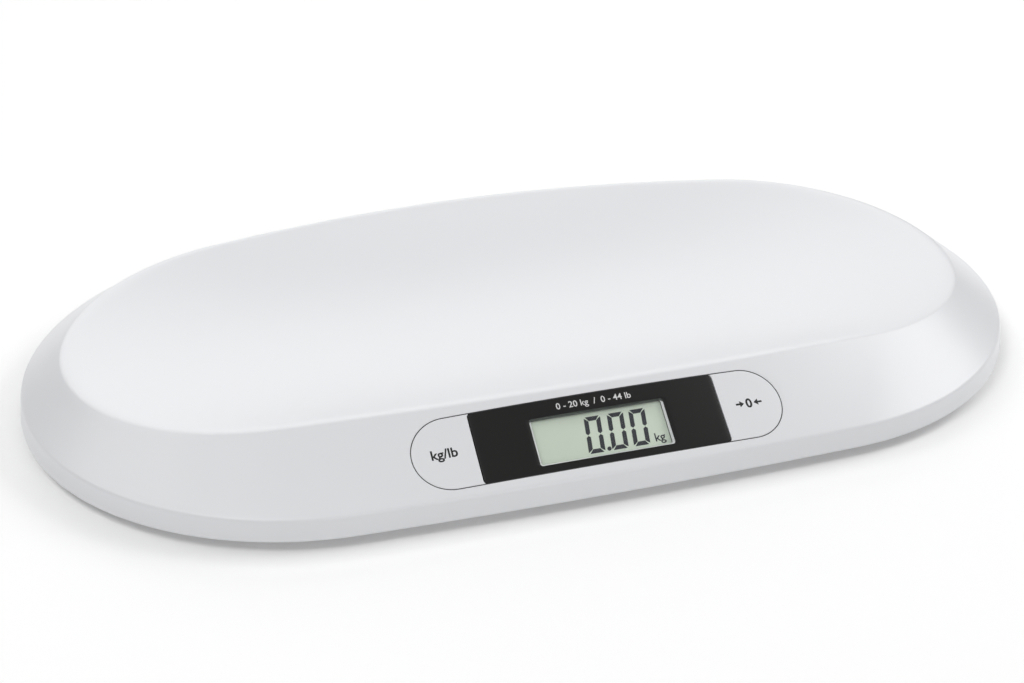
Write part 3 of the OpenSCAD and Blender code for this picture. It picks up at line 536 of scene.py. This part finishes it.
key_w = (on_skirt(key_at, 0.0) - panel_origin) @ axis_w
print("the skirt at the keys lies", round(-float(key_w) / mm, 2), "mm under the panel's plane")

# %% [markdown]
# ## The white moulding
# On the real scale this is one injection-moulded shell. Here it is a grid of rings: round the
# lower edge, up the band, over its rounded edge to the skirt, over the rim and down into the
# trough, where the rings shrink to a point. Columns follow the four arcs, so each column meets
# the same place of every ring.

# %% Rings of the outer face
end_n, side_n, skirt_n, tray_n = 128, 160, 14, 40
foot_n, band_n, rim_n, tray_share = 5, 9, 17, 0.91
around = np.concatenate([k + np.arange(n) / n for k, n in enumerate((end_n, side_n) * 2)])
cols = len(around)
up_the_skirt = np.linspace(0, 1, skirt_n + 1)
foot_inner = ring(foot_a - wall, foot_b - wall, foot_gap, around)
foot, band, rim = foot_ring(around), band_ring(around), rim_ring(around)
middle = np.array([[0.0, tray_back, keel_h]])

outer_rows = rounded(foot_inner, foot, band, foot_round, foot_n)
outer_rows += rounded(foot, band, rim, band_round, band_n)
skirt_row = len(outer_rows) - 1
outer_rows += [between(skirt_ends, around, np.full(cols, t)) for t in up_the_skirt[1:-1]]
outer_rows += rounded(band, rim, tray_ring(around, tray_share), rim_outside, rim_n, rim_inside)
outer_rows += [tray_ring(around, s) for s in tray_share * (1 - np.arange(tray_n) / tray_n)]
print(len(outer_rows), "rings of", cols, "points outside")

# %% Rings of the inner face
inner_shares = np.linspace(0.94, 0.06, 12)
inner_rows = [between(inner_ends, around, np.full(cols, t)) for t in up_the_skirt]
inner_rows += [tray_ring(around, s, tray_under) for s in inner_shares]
print(len(inner_rows), "rings inside")

# %% [markdown]
# The panel's opening has to be exact, because the black bezel and the white keys fill it up to a
# gap of less than half a millimetre. A Boolean would cut it, but it leaves long thin faces that
# shade badly on a surface as soft as this one. So a rectangle of the grid is left out on the
# front skirt, and a frame of quads leads from its border to the stadium. The frame's points are
# mixed in the skirt's own parameters, so all of them lie on the skirt.

# %% The rectangle that is left out
margin = 12 * mm
front = np.where(around >= 3)[0]
front_u = between(skirt_ends, around[front], np.full(len(front), 0.5))[:, 0] - panel_origin[0]
reach = panel_l / 2 + margin
first_col, last_col = front[np.searchsorted(front_u, [-reach, reach])]
across, upright = np.arange(first_col, last_col + 1), np.arange(1, skirt_n)
border_col = np.concatenate([
    across, np.full(skirt_n - 1, last_col), across[::-1], np.full(skirt_n - 1, first_col)
])
border_row = np.concatenate([
    np.zeros(len(across), int), upright, np.full(len(across), skirt_n), upright[::-1]
])
border_q, border_t = around[border_col], up_the_skirt[border_row]


def without_rectangle(quads, rows, first_row):
    """The quads of a grid of rings, without those in the rectangle, which starts at first_row."""
    row, col = np.divmod(np.arange((rows - 1) * cols), cols)
    in_rows = (row >= first_row) & (row < first_row + skirt_n)
    in_cols = (col >= first_col) & (col < last_col)
    return quads[~(in_rows & in_cols)]


print("columns", first_col, "to", last_col, "left out,", len(border_col), "points on the border")

# %% Points of the opening that match the border
def ends_of_run(flags):
    """The indices of one run of true flags on a closed loop, in order."""
    there = np.where(flags)[0]
    start = there[~np.isin((there - 1) % len(flags), there)][0]
    return (start + np.arange(len(there))) % len(flags)


def match_stadium(u, v, grow):
    """For points u, v of a closed loop round the opening, the matching points of the stadium
    grown by grow, and the outward direction there. On the long sides a point moves straight up
    or down. At the two ends, points keep their share of the way round."""
    r, flat = panel_h / 2 + grow, (panel_l - panel_h) / 2
    to = np.stack([u, np.where(v > 0, r, -r)], -1)
    out = np.stack([0 * u, np.sign(v)], -1)
    for side in (1, -1):
        run = ends_of_run(side * u > flat)
        loop = np.stack([u[run], v[run]], -1)
        start, stop = np.array([side * flat, -side * r]), np.array([side * flat, side * r])
        steps = np.linalg.norm(np.diff(np.vstack([start, loop, stop]), axis=0), axis=1)
        angle = side * math.pi / 2 * (2 * np.cumsum(steps)[:-1] / steps.sum() - 1)
        angle = angle if side > 0 else math.pi - angle
        out[run] = np.stack([np.cos(angle), np.sin(angle)], -1)
        to[run] = [side * flat, 0] + r * out[run]
    return to, out


def opening(ends, grow):
    """The opening's loop on one face of the wall: its q, t and outward directions."""
    place = between(ends, border_q, border_t) - panel_origin
    to, out = match_stadium(place @ axis_u, place @ axis_v, grow)
    q, t = find_on(ends, to[:, 0], to[:, 1])
    return q, t, out


def frame_rows(ends, q, t, rings=7):
    """Rings of points from the border, which isn't among them, to the opening."""
    return [between(ends, border_q + m * (q - border_q), border_t + m * (t - border_t))
            for m in np.arange(1, rings + 1) / rings]


print("the opening's loop has", len(opening(skirt_ends, panel_gap)[0]), "points too")

# %% [markdown]
# The shell is then sewn together from numbered points: outer rings, outer frame, the rounded edge
# and wall of the opening, inner frame, inner rings, and a flat lower edge.

# %% Sewing the shell together
class Cloth:
    """Points and faces that grow piece by piece. add gives each new row its numbers."""

    def __init__(self):
        self.points, self.faces, self.count = [], [], 0

    def add(self, rows):
        rows = np.asarray(rows, float).reshape(-1, np.shape(rows)[-2], 3)
        numbers = self.count + np.arange(rows.shape[0] * rows.shape[1]).reshape(rows.shape[:2])
        self.points.append(rows.reshape(-1, 3))
        self.count += numbers.size
        return numbers

    def sew(self, numbers, flip=False):
        """Quads between neighbouring rows of numbers, each row a closed loop."""
        nxt = np.roll(numbers, -1, axis=1)
        quads = np.stack([numbers[:-1], nxt[:-1], nxt[1:], numbers[1:]], -1).reshape(-1, 4)
        self.faces.append(quads[:, ::-1] if flip else quads)

    def keep_last(self, mask_of):
        """Drops faces of the last sewn part."""
        self.faces[-1] = mask_of(self.faces[-1])

    def close(self, numbers, pole, flip=False):
        """Triangles from a row of numbers to one point."""
        tip = np.full(len(numbers), pole)
        triangles = np.stack([numbers, np.roll(numbers, -1), tip], -1)
        self.faces.append(triangles[:, ::-1] if flip else triangles)

    def all_points(self):
        return np.vstack(self.points)

    def all_faces(self):
        return [face for part in self.faces for face in part.tolist()]


def make_sleeve(name, rows, body, slot, material, **how):
    """A piece sewn from closed loops: each to the next, and the last to the first."""
    sleeve = Cloth()
    numbers = sleeve.add(rows)
    sleeve.sew(np.vstack([numbers, numbers[:1]]))
    return make_piece(name, sleeve.all_points(), sleeve.all_faces(), body, slot, material, **how)


shell = Cloth()
edge_r, edge_n = 0.2 * mm, 4
outer = shell.add(outer_rows)
shell.sew(outer)
shell.keep_last(lambda quads: without_rectangle(quads, len(outer_rows), skirt_row))
shell.close(outer[-1], shell.add([middle])[0, 0])

# %% The opening and the inside
q, t, out = opening(skirt_ends, panel_gap + edge_r)
lip = between(skirt_ends, q, t)
inward = -(out[:, :1] * axis_u + out[:, 1:] * axis_v)
turns = np.linspace(0, math.pi / 2, edge_n + 1)[1:]
lip_rows = [lip + edge_r * (math.sin(a) * inward - (1 - math.cos(a)) * axis_w) for a in turns]
outer_frame = shell.add(frame_rows(skirt_ends, q, t))
edge = shell.add(lip_rows)
q, t, out = opening(inner_ends, panel_gap)
inner_frame = shell.add(frame_rows(inner_ends, q, t))
inner = shell.add(inner_rows)
outer_border = outer[skirt_row + border_row, border_col]
inner_border = inner[border_row, border_col]
shell.sew(np.vstack([outer_border, outer_frame, edge, inner_frame[::-1], inner_border]))
shell.sew(inner, flip=True)
shell.keep_last(lambda quads: without_rectangle(quads, len(inner_rows), 0))
shell.close(inner[-1], shell.add([middle - [0, 0, tray_under]])[0, 0], flip=True)
edge_in = shell.add([foot_inner])
shell.sew(np.vstack([inner[0], edge_in[0], outer[0]]))
make_piece("tray_moulding", shell.all_points(), shell.all_faces(), "case", "shell_white",
           shell_white, replaces=("top_shell",), sharp=50)

# %% [markdown]
# ## The black bezel
# Its face follows the skirt, and its corners and edges are slightly rounded. It is a loft of
# rounded rectangles: from the back up the outside, over the edge, across the face and down into
# the window. All loops have the same number of points, corner by corner, so they join in quads.

# %% Loops for the bezel
def arc(u, v, r, turn):
    """The points at the angles turn of a circle of radius r about (u, v)."""
    return np.stack([u + r * np.cos(turn), v + r * np.sin(turn)], -1)


def round_rect(w, h, r, at=(0.0, 0.0), n_side=24, n_arc=8):
    """A rounded rectangle as a loop: n_arc points round each corner, and n_side points spread
    evenly on each side, about the point at."""
    corners = []
    for start, right, up in ((-90, 1, -1), (0, 1, 1), (90, -1, 1), (180, -1, -1)):
        turn = np.radians(start + np.linspace(0, 90, n_arc))
        corners.append(arc(right * (w / 2 - r), up * (h / 2 - r), r, turn))
    share = np.linspace(0, 1, n_side + 2)[1:-1, None]
    loop = []
    for here, there in zip(corners, corners[1:] + corners[:1]):
        loop += [here, here[-1] + share * (there[0] - here[-1])]
    return np.vstack(loop) + at


def flat_on_panel(loop, depth):
    """A loop laid on a plane at this depth below the panel's own."""
    return panel_point(loop[:, 0], loop[:, 1], np.full(len(loop), -depth))


def along_skirt(loop, out=0.0):
    """A loop laid on the skirt, at the height out above its face."""
    return on_skirt(loop[:, 0], loop[:, 1], out)


print(len(round_rect(1, 1, 0.1)), "points in a loop")

# %% Bezel
bezel_l, bezel_x, bezel_r = 126.2 * mm, -0.55 * mm, 2 * mm
bezel_edge, bezel_waist, bezel_back = 0.35 * mm, 2 * mm, 4.3 * mm
window_w, window_h, window_at, window_r = 69.1 * mm, 25 * mm, (-0.45 * mm, -2.4 * mm), 1.3 * mm
window_edge, window_turn = 0.2 * mm, 0.06 * mm
pane_in, pane_rim = 1.6 * mm, 3 * mm


def bezel_loop(inset):
    return round_rect(bezel_l - 2 * inset, panel_h - 2 * inset, bezel_r - inset, (bezel_x, 0))


def window_loop(inset):
    return round_rect(window_w - 2 * inset, window_h - 2 * inset, window_r - inset, window_at)


rows = [along_skirt(bezel_loop(0), -depth) for depth in (bezel_back, bezel_waist)]
for a in np.linspace(0, math.pi / 2, 6):
    inset, out = bezel_edge * (1 - math.cos(a)), bezel_edge * (math.sin(a) - 1)
    rows.append(along_skirt(bezel_loop(inset), out))
face_out, face_in = bezel_loop(bezel_edge), window_loop(-window_edge)
rows += [along_skirt(face_out + m * (face_in - face_out)) for m in np.linspace(0, 1, 13)[1:]]
rows.append(along_skirt(window_loop(-window_turn), -window_turn))
rows.append(along_skirt(window_loop(0), -window_edge))
rows.append(flat_on_panel(window_loop(0), pane_in))
rows += [flat_on_panel(window_loop(-pane_rim), depth) for depth in (pane_in, bezel_back)]
make_sleeve("bezel_moulding", rows, "case", "bezel_black", bezel_black,
            replaces=("display_bezel",), sharp=35)

# %% [markdown]
# The clear pane has a step that fills the window, with a bevel all round. Seen from the front
# left, the right bevel catches the light, and the head has a painted shade in its colour. Those
# thin lines make the display look sunk in, so the step is a piece of its own.

# %% Bevelled step of the pane
bevel, snug, step_top, step_wall = 0.95 * mm, 0.03 * mm, 0.25 * mm, 0.1 * mm


def step_loop(inset):
    """The window's outline, drawn in by inset at the sides and the foot, and by half of it at
    the head."""
    w, h, r = window_w - 2 * inset, window_h - 1.5 * inset, window_r - inset / 2
    return round_rect(w, h, r, (window_at[0], window_at[1] + inset / 4))


rows = [along_skirt(step_loop(snug), -step_top)]
rows += [flat_on_panel(step_loop(bevel), depth) for depth in (pane_in - step_wall, pane_in)]
rows.append(flat_on_panel(step_loop(snug), pane_in))
make_sleeve("pane_step", rows, "case", "window_clear", pane_edge, sharp=20)

# %% Dark grey strip behind the pane: a painted shade beside the glass
shade_strip_back = 2.8 * mm
rows = [flat_on_panel(step_loop(inset), depth) for inset, depth in
        ((bevel, pane_in), (bevel, shade_strip_back), (0.0, shade_strip_back), (0.0, pane_in))]
make_sleeve("pane_shade_strip", rows, "case", "bezel_black", shade_strip_grey, sharp=30)

# %% [markdown]
# ## The two keys
# A key is a hollow cap: half a stadium, cut along the bezel's end, so that it has two small horns
# that follow the bezel's round corners. Its face follows the skirt too. Under it are a stem that
# presses the switch and two pins that keep it straight.

# %% Outline of a key
key_edge, key_skin, key_wall, key_lip = 0.3 * mm, 2 * mm, 1.8 * mm, 4.3 * mm
end_points, horn_points, over_points, cut_points = 65, 9, 12, 24


def key_loop(side, inset):
    """Outline of a key, drawn in by inset: the stadium's half circle, its straight edges, and
    the bezel's end and round corners grown by the gap and the inset."""
    r, flat = panel_h / 2 - inset, (panel_l - panel_h) / 2
    corner_u = side * bezel_x + bezel_l / 2 - bezel_r
    corner_v, corner_r = panel_h / 2 - bezel_r, bezel_r + panel_gap + inset
    reach = math.asin((bezel_r - inset) / corner_r)
    end = arc(flat, 0.0, r, np.linspace(-math.pi / 2, math.pi / 2, end_points))
    horn = arc(corner_u, corner_v, corner_r, np.linspace(reach, 0, horn_points))
    over = np.linspace([flat, r], [horn[0, 0], r], over_points + 2)[1:-1]
    cut_u = corner_u + corner_r
    cut_side = np.linspace([cut_u, corner_v], [cut_u, -corner_v], cut_points + 2)[1:-1]
    down = [1, -1]
    loop = np.vstack([end, over, horn, cut_side, horn[::-1] * down, over[::-1] * down])
    return loop if side > 0 else (loop * [-1, 1])[::-1]


print(len(key_loop(1, 0)), "points round a key")

# %% Caps, stems and pins
stem_u, stem_d, stem_tip = 78.8 * mm, 5 * mm, 6.2 * mm
pin_v, pin_d, pin_tip = 11.5 * mm, 2.4 * mm, 13.6 * mm
pin_root, pin_chamfer = key_skin + 0.6 * mm, 0.2 * mm
face_shares = (0.1, 0.2, 0.3, 0.45, 0.6, 0.72, 0.82, 0.9, 0.96)
inside_shares = (1, 0.6, 0.2)


def add_pin(cloth, u, v, d, tip, sides=24):
    """A round pin under the skin of a key: a circle carried down to the depth tip, where it
    narrows by a chamfer."""
    turn = np.linspace(0, 2 * math.pi, sides, endpoint=False)
    sizes = ((d / 2, pin_root), (d / 2, tip - pin_chamfer), (d / 2 - pin_chamfer, tip))
    numbers = cloth.add([flat_on_panel(arc(u, v, r, turn), depth) for r, depth in sizes])
    middle = np.array([[u, v]])
    poles = np.vstack([flat_on_panel(middle, depth) for depth in (pin_root, tip)])
    poles = cloth.add([poles])[0]
    cloth.sew(numbers, flip=True)
    cloth.close(numbers[0], poles[0])
    cloth.close(numbers[-1], poles[1], flip=True)


def make_key(name, side, body, replaced):
    """A cap whose loops grow from the middle of its face to the edge, turn down round it, reach
    the lip, and come back up inside to the underside of the skin."""
    centre = np.array([side * key_at, 0.0])
    inside = key_loop(side, key_wall)
    rows = [along_skirt(centre + m * (key_loop(side, key_edge) - centre)) for m in face_shares]
    for a in np.linspace(0, math.pi / 2, 6):
        inset, out = key_edge * (1 - math.sin(a)), key_edge * (math.cos(a) - 1)
        rows.append(along_skirt(key_loop(side, inset), out))
    rows += [along_skirt(key_loop(side, 0), -key_lip), along_skirt(inside, -key_lip)]
    rows += [along_skirt(centre + m * (inside - centre), -key_skin) for m in inside_shares]
    key = Cloth()
    numbers = key.add(rows)
    poles = np.vstack([along_skirt(centre[None], out) for out in (0.0, -key_skin)])
    poles = key.add([poles])[0]
    key.sew(numbers, flip=True)
    key.close(numbers[0], poles[0])
    key.close(numbers[-1], poles[1], flip=True)
    add_pin(key, side * stem_u, 0.0, stem_d, stem_tip)
    for v in (pin_v, -pin_v):
        add_pin(key, side * stem_u, v, pin_d, pin_tip)
    return make_piece(name, key.all_points(), key.all_faces(), body, "key_white", key_white,
                      replaces=(replaced,), sharp=40)


make_key("unit_key_cap", -1, "unit_key", "unit_key")
make_key("tare_key_cap", 1, "tare_key", "tare_key")

# %% [markdown]
# ## A dark strip in the gap
# A thin black strip lies a little below the face, in the gap round the keys and the bezel, as a
# painted shade that draws the fine dark outline. It is a band between two stadiums, carried down
# into the gap.

# %% Dark strip in the gap: a painted shade
gap_shade_in, gap_shade_clear, gap_shade_top, gap_shade_foot = 0.03 * mm, 0.02 * mm, 0.1 * mm, 1.2 * mm


def stadium_loop(grow, n_side=120, n_end=64):
    """The stadium grown by grow: two long sides and two half circles."""
    r, flat = panel_h / 2 + grow, (panel_l - panel_h) / 2
    end = arc(flat, 0.0, r, np.linspace(-math.pi / 2, math.pi / 2, n_end))
    back = np.linspace([flat, r], [-flat, r], n_side + 2)[1:-1]
    half = np.vstack([end, back])
    return np.vstack([half, -half])


wide, narrow = stadium_loop(panel_gap - gap_shade_clear), stadium_loop(gap_shade_in)
rows = [along_skirt(loop, -depth) for loop, depth in
        ((wide, gap_shade_foot), (wide, gap_shade_top), (narrow, gap_shade_top), (narrow, gap_shade_foot))]
make_sleeve("gap_shade_strip", rows, "case", "pad_rubber", pad_rubber, sharp=30)

# %% [markdown]
# ## Printing
# Keys and panel carry only plain marks: the units that the left key switches between, a nought
# between two arrows on the key that sets the reading to nought, and the weighing range. Blender's
# own typeface is turned into a mesh, and its points are then laid on the curved faces.

# %% Words as flat meshes
def flat_words(words, width, bold=0.0):
    """Flat faces of the words, centred on the origin, scaled to the given width and facing up."""
    curve = bpy.data.curves.new("words", "FONT")
    curve.body, curve.offset, curve.resolution_u = words, bold, 6
    holder = bpy.data.objects.new("words", curve)
    bpy.context.scene.collection.objects.link(holder)
    bpy.context.view_layer.update()
    drawn = holder.evaluated_get(bpy.context.evaluated_depsgraph_get())
    flat = bpy.data.meshes.new_from_object(drawn)
    bpy.data.objects.remove(holder)
    points = np.zeros(3 * len(flat.vertices))
    flat.vertices.foreach_get("co", points)
    points = points.reshape(-1, 3)[:, :2]
    low, high = points.min(0), points.max(0)
    points = (points - (low + high) / 2) * (width / (high - low)[0])
    faces = [list(face.vertices)[::-1 if face.normal.z < 0 else 1] for face in flat.polygons]
    return points, faces


ink = 0.03 * mm


def print_mark(name, points, faces, at, body, material, slot):
    """A flat mark, moved to its place on the panel and laid a hair above the face."""
    return make_piece(name, along_skirt(points + at, ink), faces, body, slot, material)


# %% Marks on the keys and over the window
units_w, units_at = 13 * mm, (-79.2 * mm, -0.4 * mm)
nought_w, nought_at = 3.4 * mm, (77.9 * mm, 0.2 * mm)
range_w, range_at = 38.6 * mm, (-0.6 * mm, 13.9 * mm)
points, faces = flat_words("kg/lb", units_w, bold=0.02)
print_mark("mark_units", points, faces, units_at, "unit_key", print_black, "bezel_black")

nought, faces = flat_words("0", nought_w, bold=0.03)
shaft, barb_at, barb, tip, arrow_start = 0.5 * mm, 2.1 * mm, 1.75 * mm, 4.4 * mm, -7 * mm
arrow = np.array([
    [0, shaft], [barb_at, shaft], [barb_at, barb], [tip, 0],
    [barb_at, -barb], [barb_at, -shaft], [0, -shaft],
]) + [arrow_start, 0]
points = np.vstack([nought, arrow, arrow[::-1] * [-1, 1]])
for first in (len(nought), len(nought) + len(arrow)):
    faces.append(list(range(first, first + len(arrow)))[::-1])
print_mark("mark_nought", points, faces, nought_at, "tare_key", print_black, "bezel_black")

points, faces = flat_words("0 - 20 kg  /  0 - 44 lb", range_w, bold=0.01)
print_mark("mark_range", points, faces, range_at, "case", print_white, "key_white")

# %% [markdown]
# ## The reading
# A digit of a display has seven bars with mitred ends. Six of them, with the middle one off, make
# a nought, and three noughts and a point make the reading. The digits lean a little. They lie
# just under the pane, on the display's glass.

# %% Bars of a nought
digit_w, digit_h, bar_w, bar_gap, lean = 8.5 * mm, 19.4 * mm, 2.25 * mm, 0.16 * mm, 0.115
cut, nick = 0.5 * mm, 0.2 * mm


def nought_bars():
    """Six bars about the digit's middle. Each is a strip along the outline, whose ends are cut at
    45 degrees, and the digit's outer corners are cut off a little."""
    x, y, b, g = digit_w / 2, digit_h / 2, bar_w, bar_gap
    elbow_x, elbow_y = x - b / 2 - g - cut / 2 + nick, y - b / 2 + cut / 2
    top = np.array([
        [-x + cut + g, y], [x - cut - g, y], [elbow_x, elbow_y],
        [x - b - g, y - b], [-x + b + g, y - b], [-elbow_x, elbow_y],
    ])
    side = np.array([
        [x, y - cut - g], [x, b / 2], [x - b / 2, g], [x - b, b / 2], [x - b, y - b - g],
        [x - b / 2 + cut / 2 - nick, y - b / 2 - g - cut / 2 + nick],
    ])
    bars = [top[::-1], side[::-1], side * [-1, 1]]
    return bars + [bar[::-1] * [1, -1] for bar in bars]


print(len(nought_bars()), "bars in a nought")

# %% The reading on the glass
digit_u, digit_v, glass_depth = (-4 * mm, 7.95 * mm, 19.2 * mm), -2.3 * mm, 2.88 * mm
dot_u, dot_v, dot_r = 2.35 * mm, -8.5 * mm, 1.1 * mm
unit_w, unit_at = 5.4 * mm, (28.15 * mm, -9.8 * mm)
shapes = [bar + [u, 0] for u in digit_u for bar in nought_bars()]
shapes.append(arc(dot_u, dot_v, dot_r, np.linspace(0, 2 * math.pi, 24, endpoint=False)))
starts = np.cumsum([0] + [len(shape) for shape in shapes])
faces = [list(range(a, b)) for a, b in zip(starts[:-1], starts[1:])]
points = np.vstack(shapes)
points = points + np.stack([lean * points[:, 1], np.full(len(points), digit_v)], -1)
make_piece("reading", flat_on_panel(points, glass_depth), faces, "case", "bezel_black",
           segment_dark)
points, faces = flat_words("kg", unit_w, bold=0.015)
make_piece("reading_unit", flat_on_panel(points + unit_at, glass_depth), faces, "case",
           "bezel_black", segment_dark)

# %% [markdown]
# ## Floor and light
# A white floor that keeps a soft shadow, seven soft lamps and a dim even sky. Three lamps stand
# behind, one in front, and three at the sides, of which the right one is the strongest. To the
# camera the floor is a little brighter than the light makes it, so it turns into the white
# background of a catalogue picture.

# %% Floor
def floor_material():
    """White with a faint drift of tone, plus a little glow that only the camera and mirrored
    or see-through rays meet."""
    material, tree, shader = new_material("floor_white")
    place = node(tree, "ShaderNodeTexCoord", (-700, 200))
    drift = node(tree, "ShaderNodeTexNoise", (-500, 200), Scale=2.0)
    tone = node(tree, "ShaderNodeValToRGB", (-250, 200))
    tone.color_ramp.elements[0].color = (0.96, 0.96, 0.96, 1)
    tone.color_ramp.elements[1].color = (0.98, 0.98, 0.98, 1)
    tree.links.new(place.outputs["Object"], drift.inputs["Vector"])
    tree.links.new(drift.outputs["Fac"], tone.inputs["Fac"])
    tree.links.new(tone.outputs["Color"], shader.inputs["Base Color"])
    shader.inputs["Roughness"].default_value = 0.9
    shader.inputs["Emission Color"].default_value = (1, 1, 1, 1)
    rays = node(tree, "ShaderNodeLightPath", (-700, -300))
    either = node(tree, "ShaderNodeMath", (-450, -300), operation="MAXIMUM")
    any_ray = node(tree, "ShaderNodeMath", (-250, -300), operation="MAXIMUM")
    glow = node(tree, "ShaderNodeMath", (0, -300), operation="MULTIPLY")
    glow.inputs[1].default_value = 0.13
    tree.links.new(rays.outputs["Is Camera Ray"], either.inputs[0])
    tree.links.new(rays.outputs["Is Glossy Ray"], either.inputs[1])
    tree.links.new(either.outputs[0], any_ray.inputs[0])
    tree.links.new(rays.outputs["Is Transmission Ray"], any_ray.inputs[1])
    tree.links.new(any_ray.outputs[0], glow.inputs[0])
    tree.links.new(glow.outputs[0], shader.inputs["Emission Strength"])
    return material


floor_half = 6.0
floor_corners = [(x * floor_half, y * floor_half, 0)
                 for x, y in ((-1, -1), (1, -1), (1, 1), (-1, 1))]
floor_mesh = bpy.data.meshes.new("floor")
floor_mesh.from_pydata(floor_corners, [], [(0, 1, 2, 3)])
floor_mesh.materials.append(floor_material())
floor = bpy.data.objects.new("floor", floor_mesh)
bpy.context.scene.collection.objects.link(floor)
print("floor", 2 * floor_half, "m wide")

# %% Lamps and sky
def softbox(name, at, width, height, power):
    """A rectangular lamp that faces the origin. Its width lies level."""
    data = bpy.data.lights.new(name, "AREA")
    data.shape, data.size, data.size_y, data.energy = "RECTANGLE", width, height, power
    box = bpy.data.objects.new(name, data)
    box.location = at
    box.rotation_euler = (-Vector(at)).to_track_quat("-Z", "Y").to_euler()
    bpy.context.scene.collection.objects.link(box)


softbox("behind", (0.35, 1.50, 0.95), 2.2, 0.6, 6.4)
softbox("behind_low", (0.00, 1.70, 0.45), 2.4, 0.5, 4.6)
softbox("front", (0.00, -1.60, 0.70), 1.2, 0.8, 5.7)
softbox("left", (-1.10, 0.40, 1.20), 0.9, 0.9, 4.8)
softbox("right", (1.35, 0.00, 1.10), 0.9, 0.9, 11.4)
softbox("rim_line", (0.10, 0.75, 1.30), 1.6, 0.2, 2.4)
softbox("sheen_left", (-0.70, -0.50, 1.40), 0.6, 0.6, 6.4)

world = bpy.data.worlds.new("sky")
bpy.context.scene.world = world
world.use_nodes = True
tree = world.node_tree
tree.nodes.clear()
rays = node(tree, "ShaderNodeLightPath", (-600, 0))
either = node(tree, "ShaderNodeMath", (-400, 0), operation="MAXIMUM")
strength = node(tree, "ShaderNodeMapRange", (-200, 0))
strength.inputs["To Min"].default_value, strength.inputs["To Max"].default_value = 0.15, 1.0
sky = node(tree, "ShaderNodeBackground", (0, 0))
sky_out = node(tree, "ShaderNodeOutputWorld", (200, 0))
tree.links.new(rays.outputs["Is Camera Ray"], either.inputs[0])
tree.links.new(rays.outputs["Is Transmission Ray"], either.inputs[1])
tree.links.new(either.outputs[0], strength.inputs["Value"])
tree.links.new(strength.outputs["Result"], sky.inputs["Strength"])
tree.links.new(sky.outputs[0], sky_out.inputs["Surface"])
print(len(bpy.data.lights), "lamps and a sky")
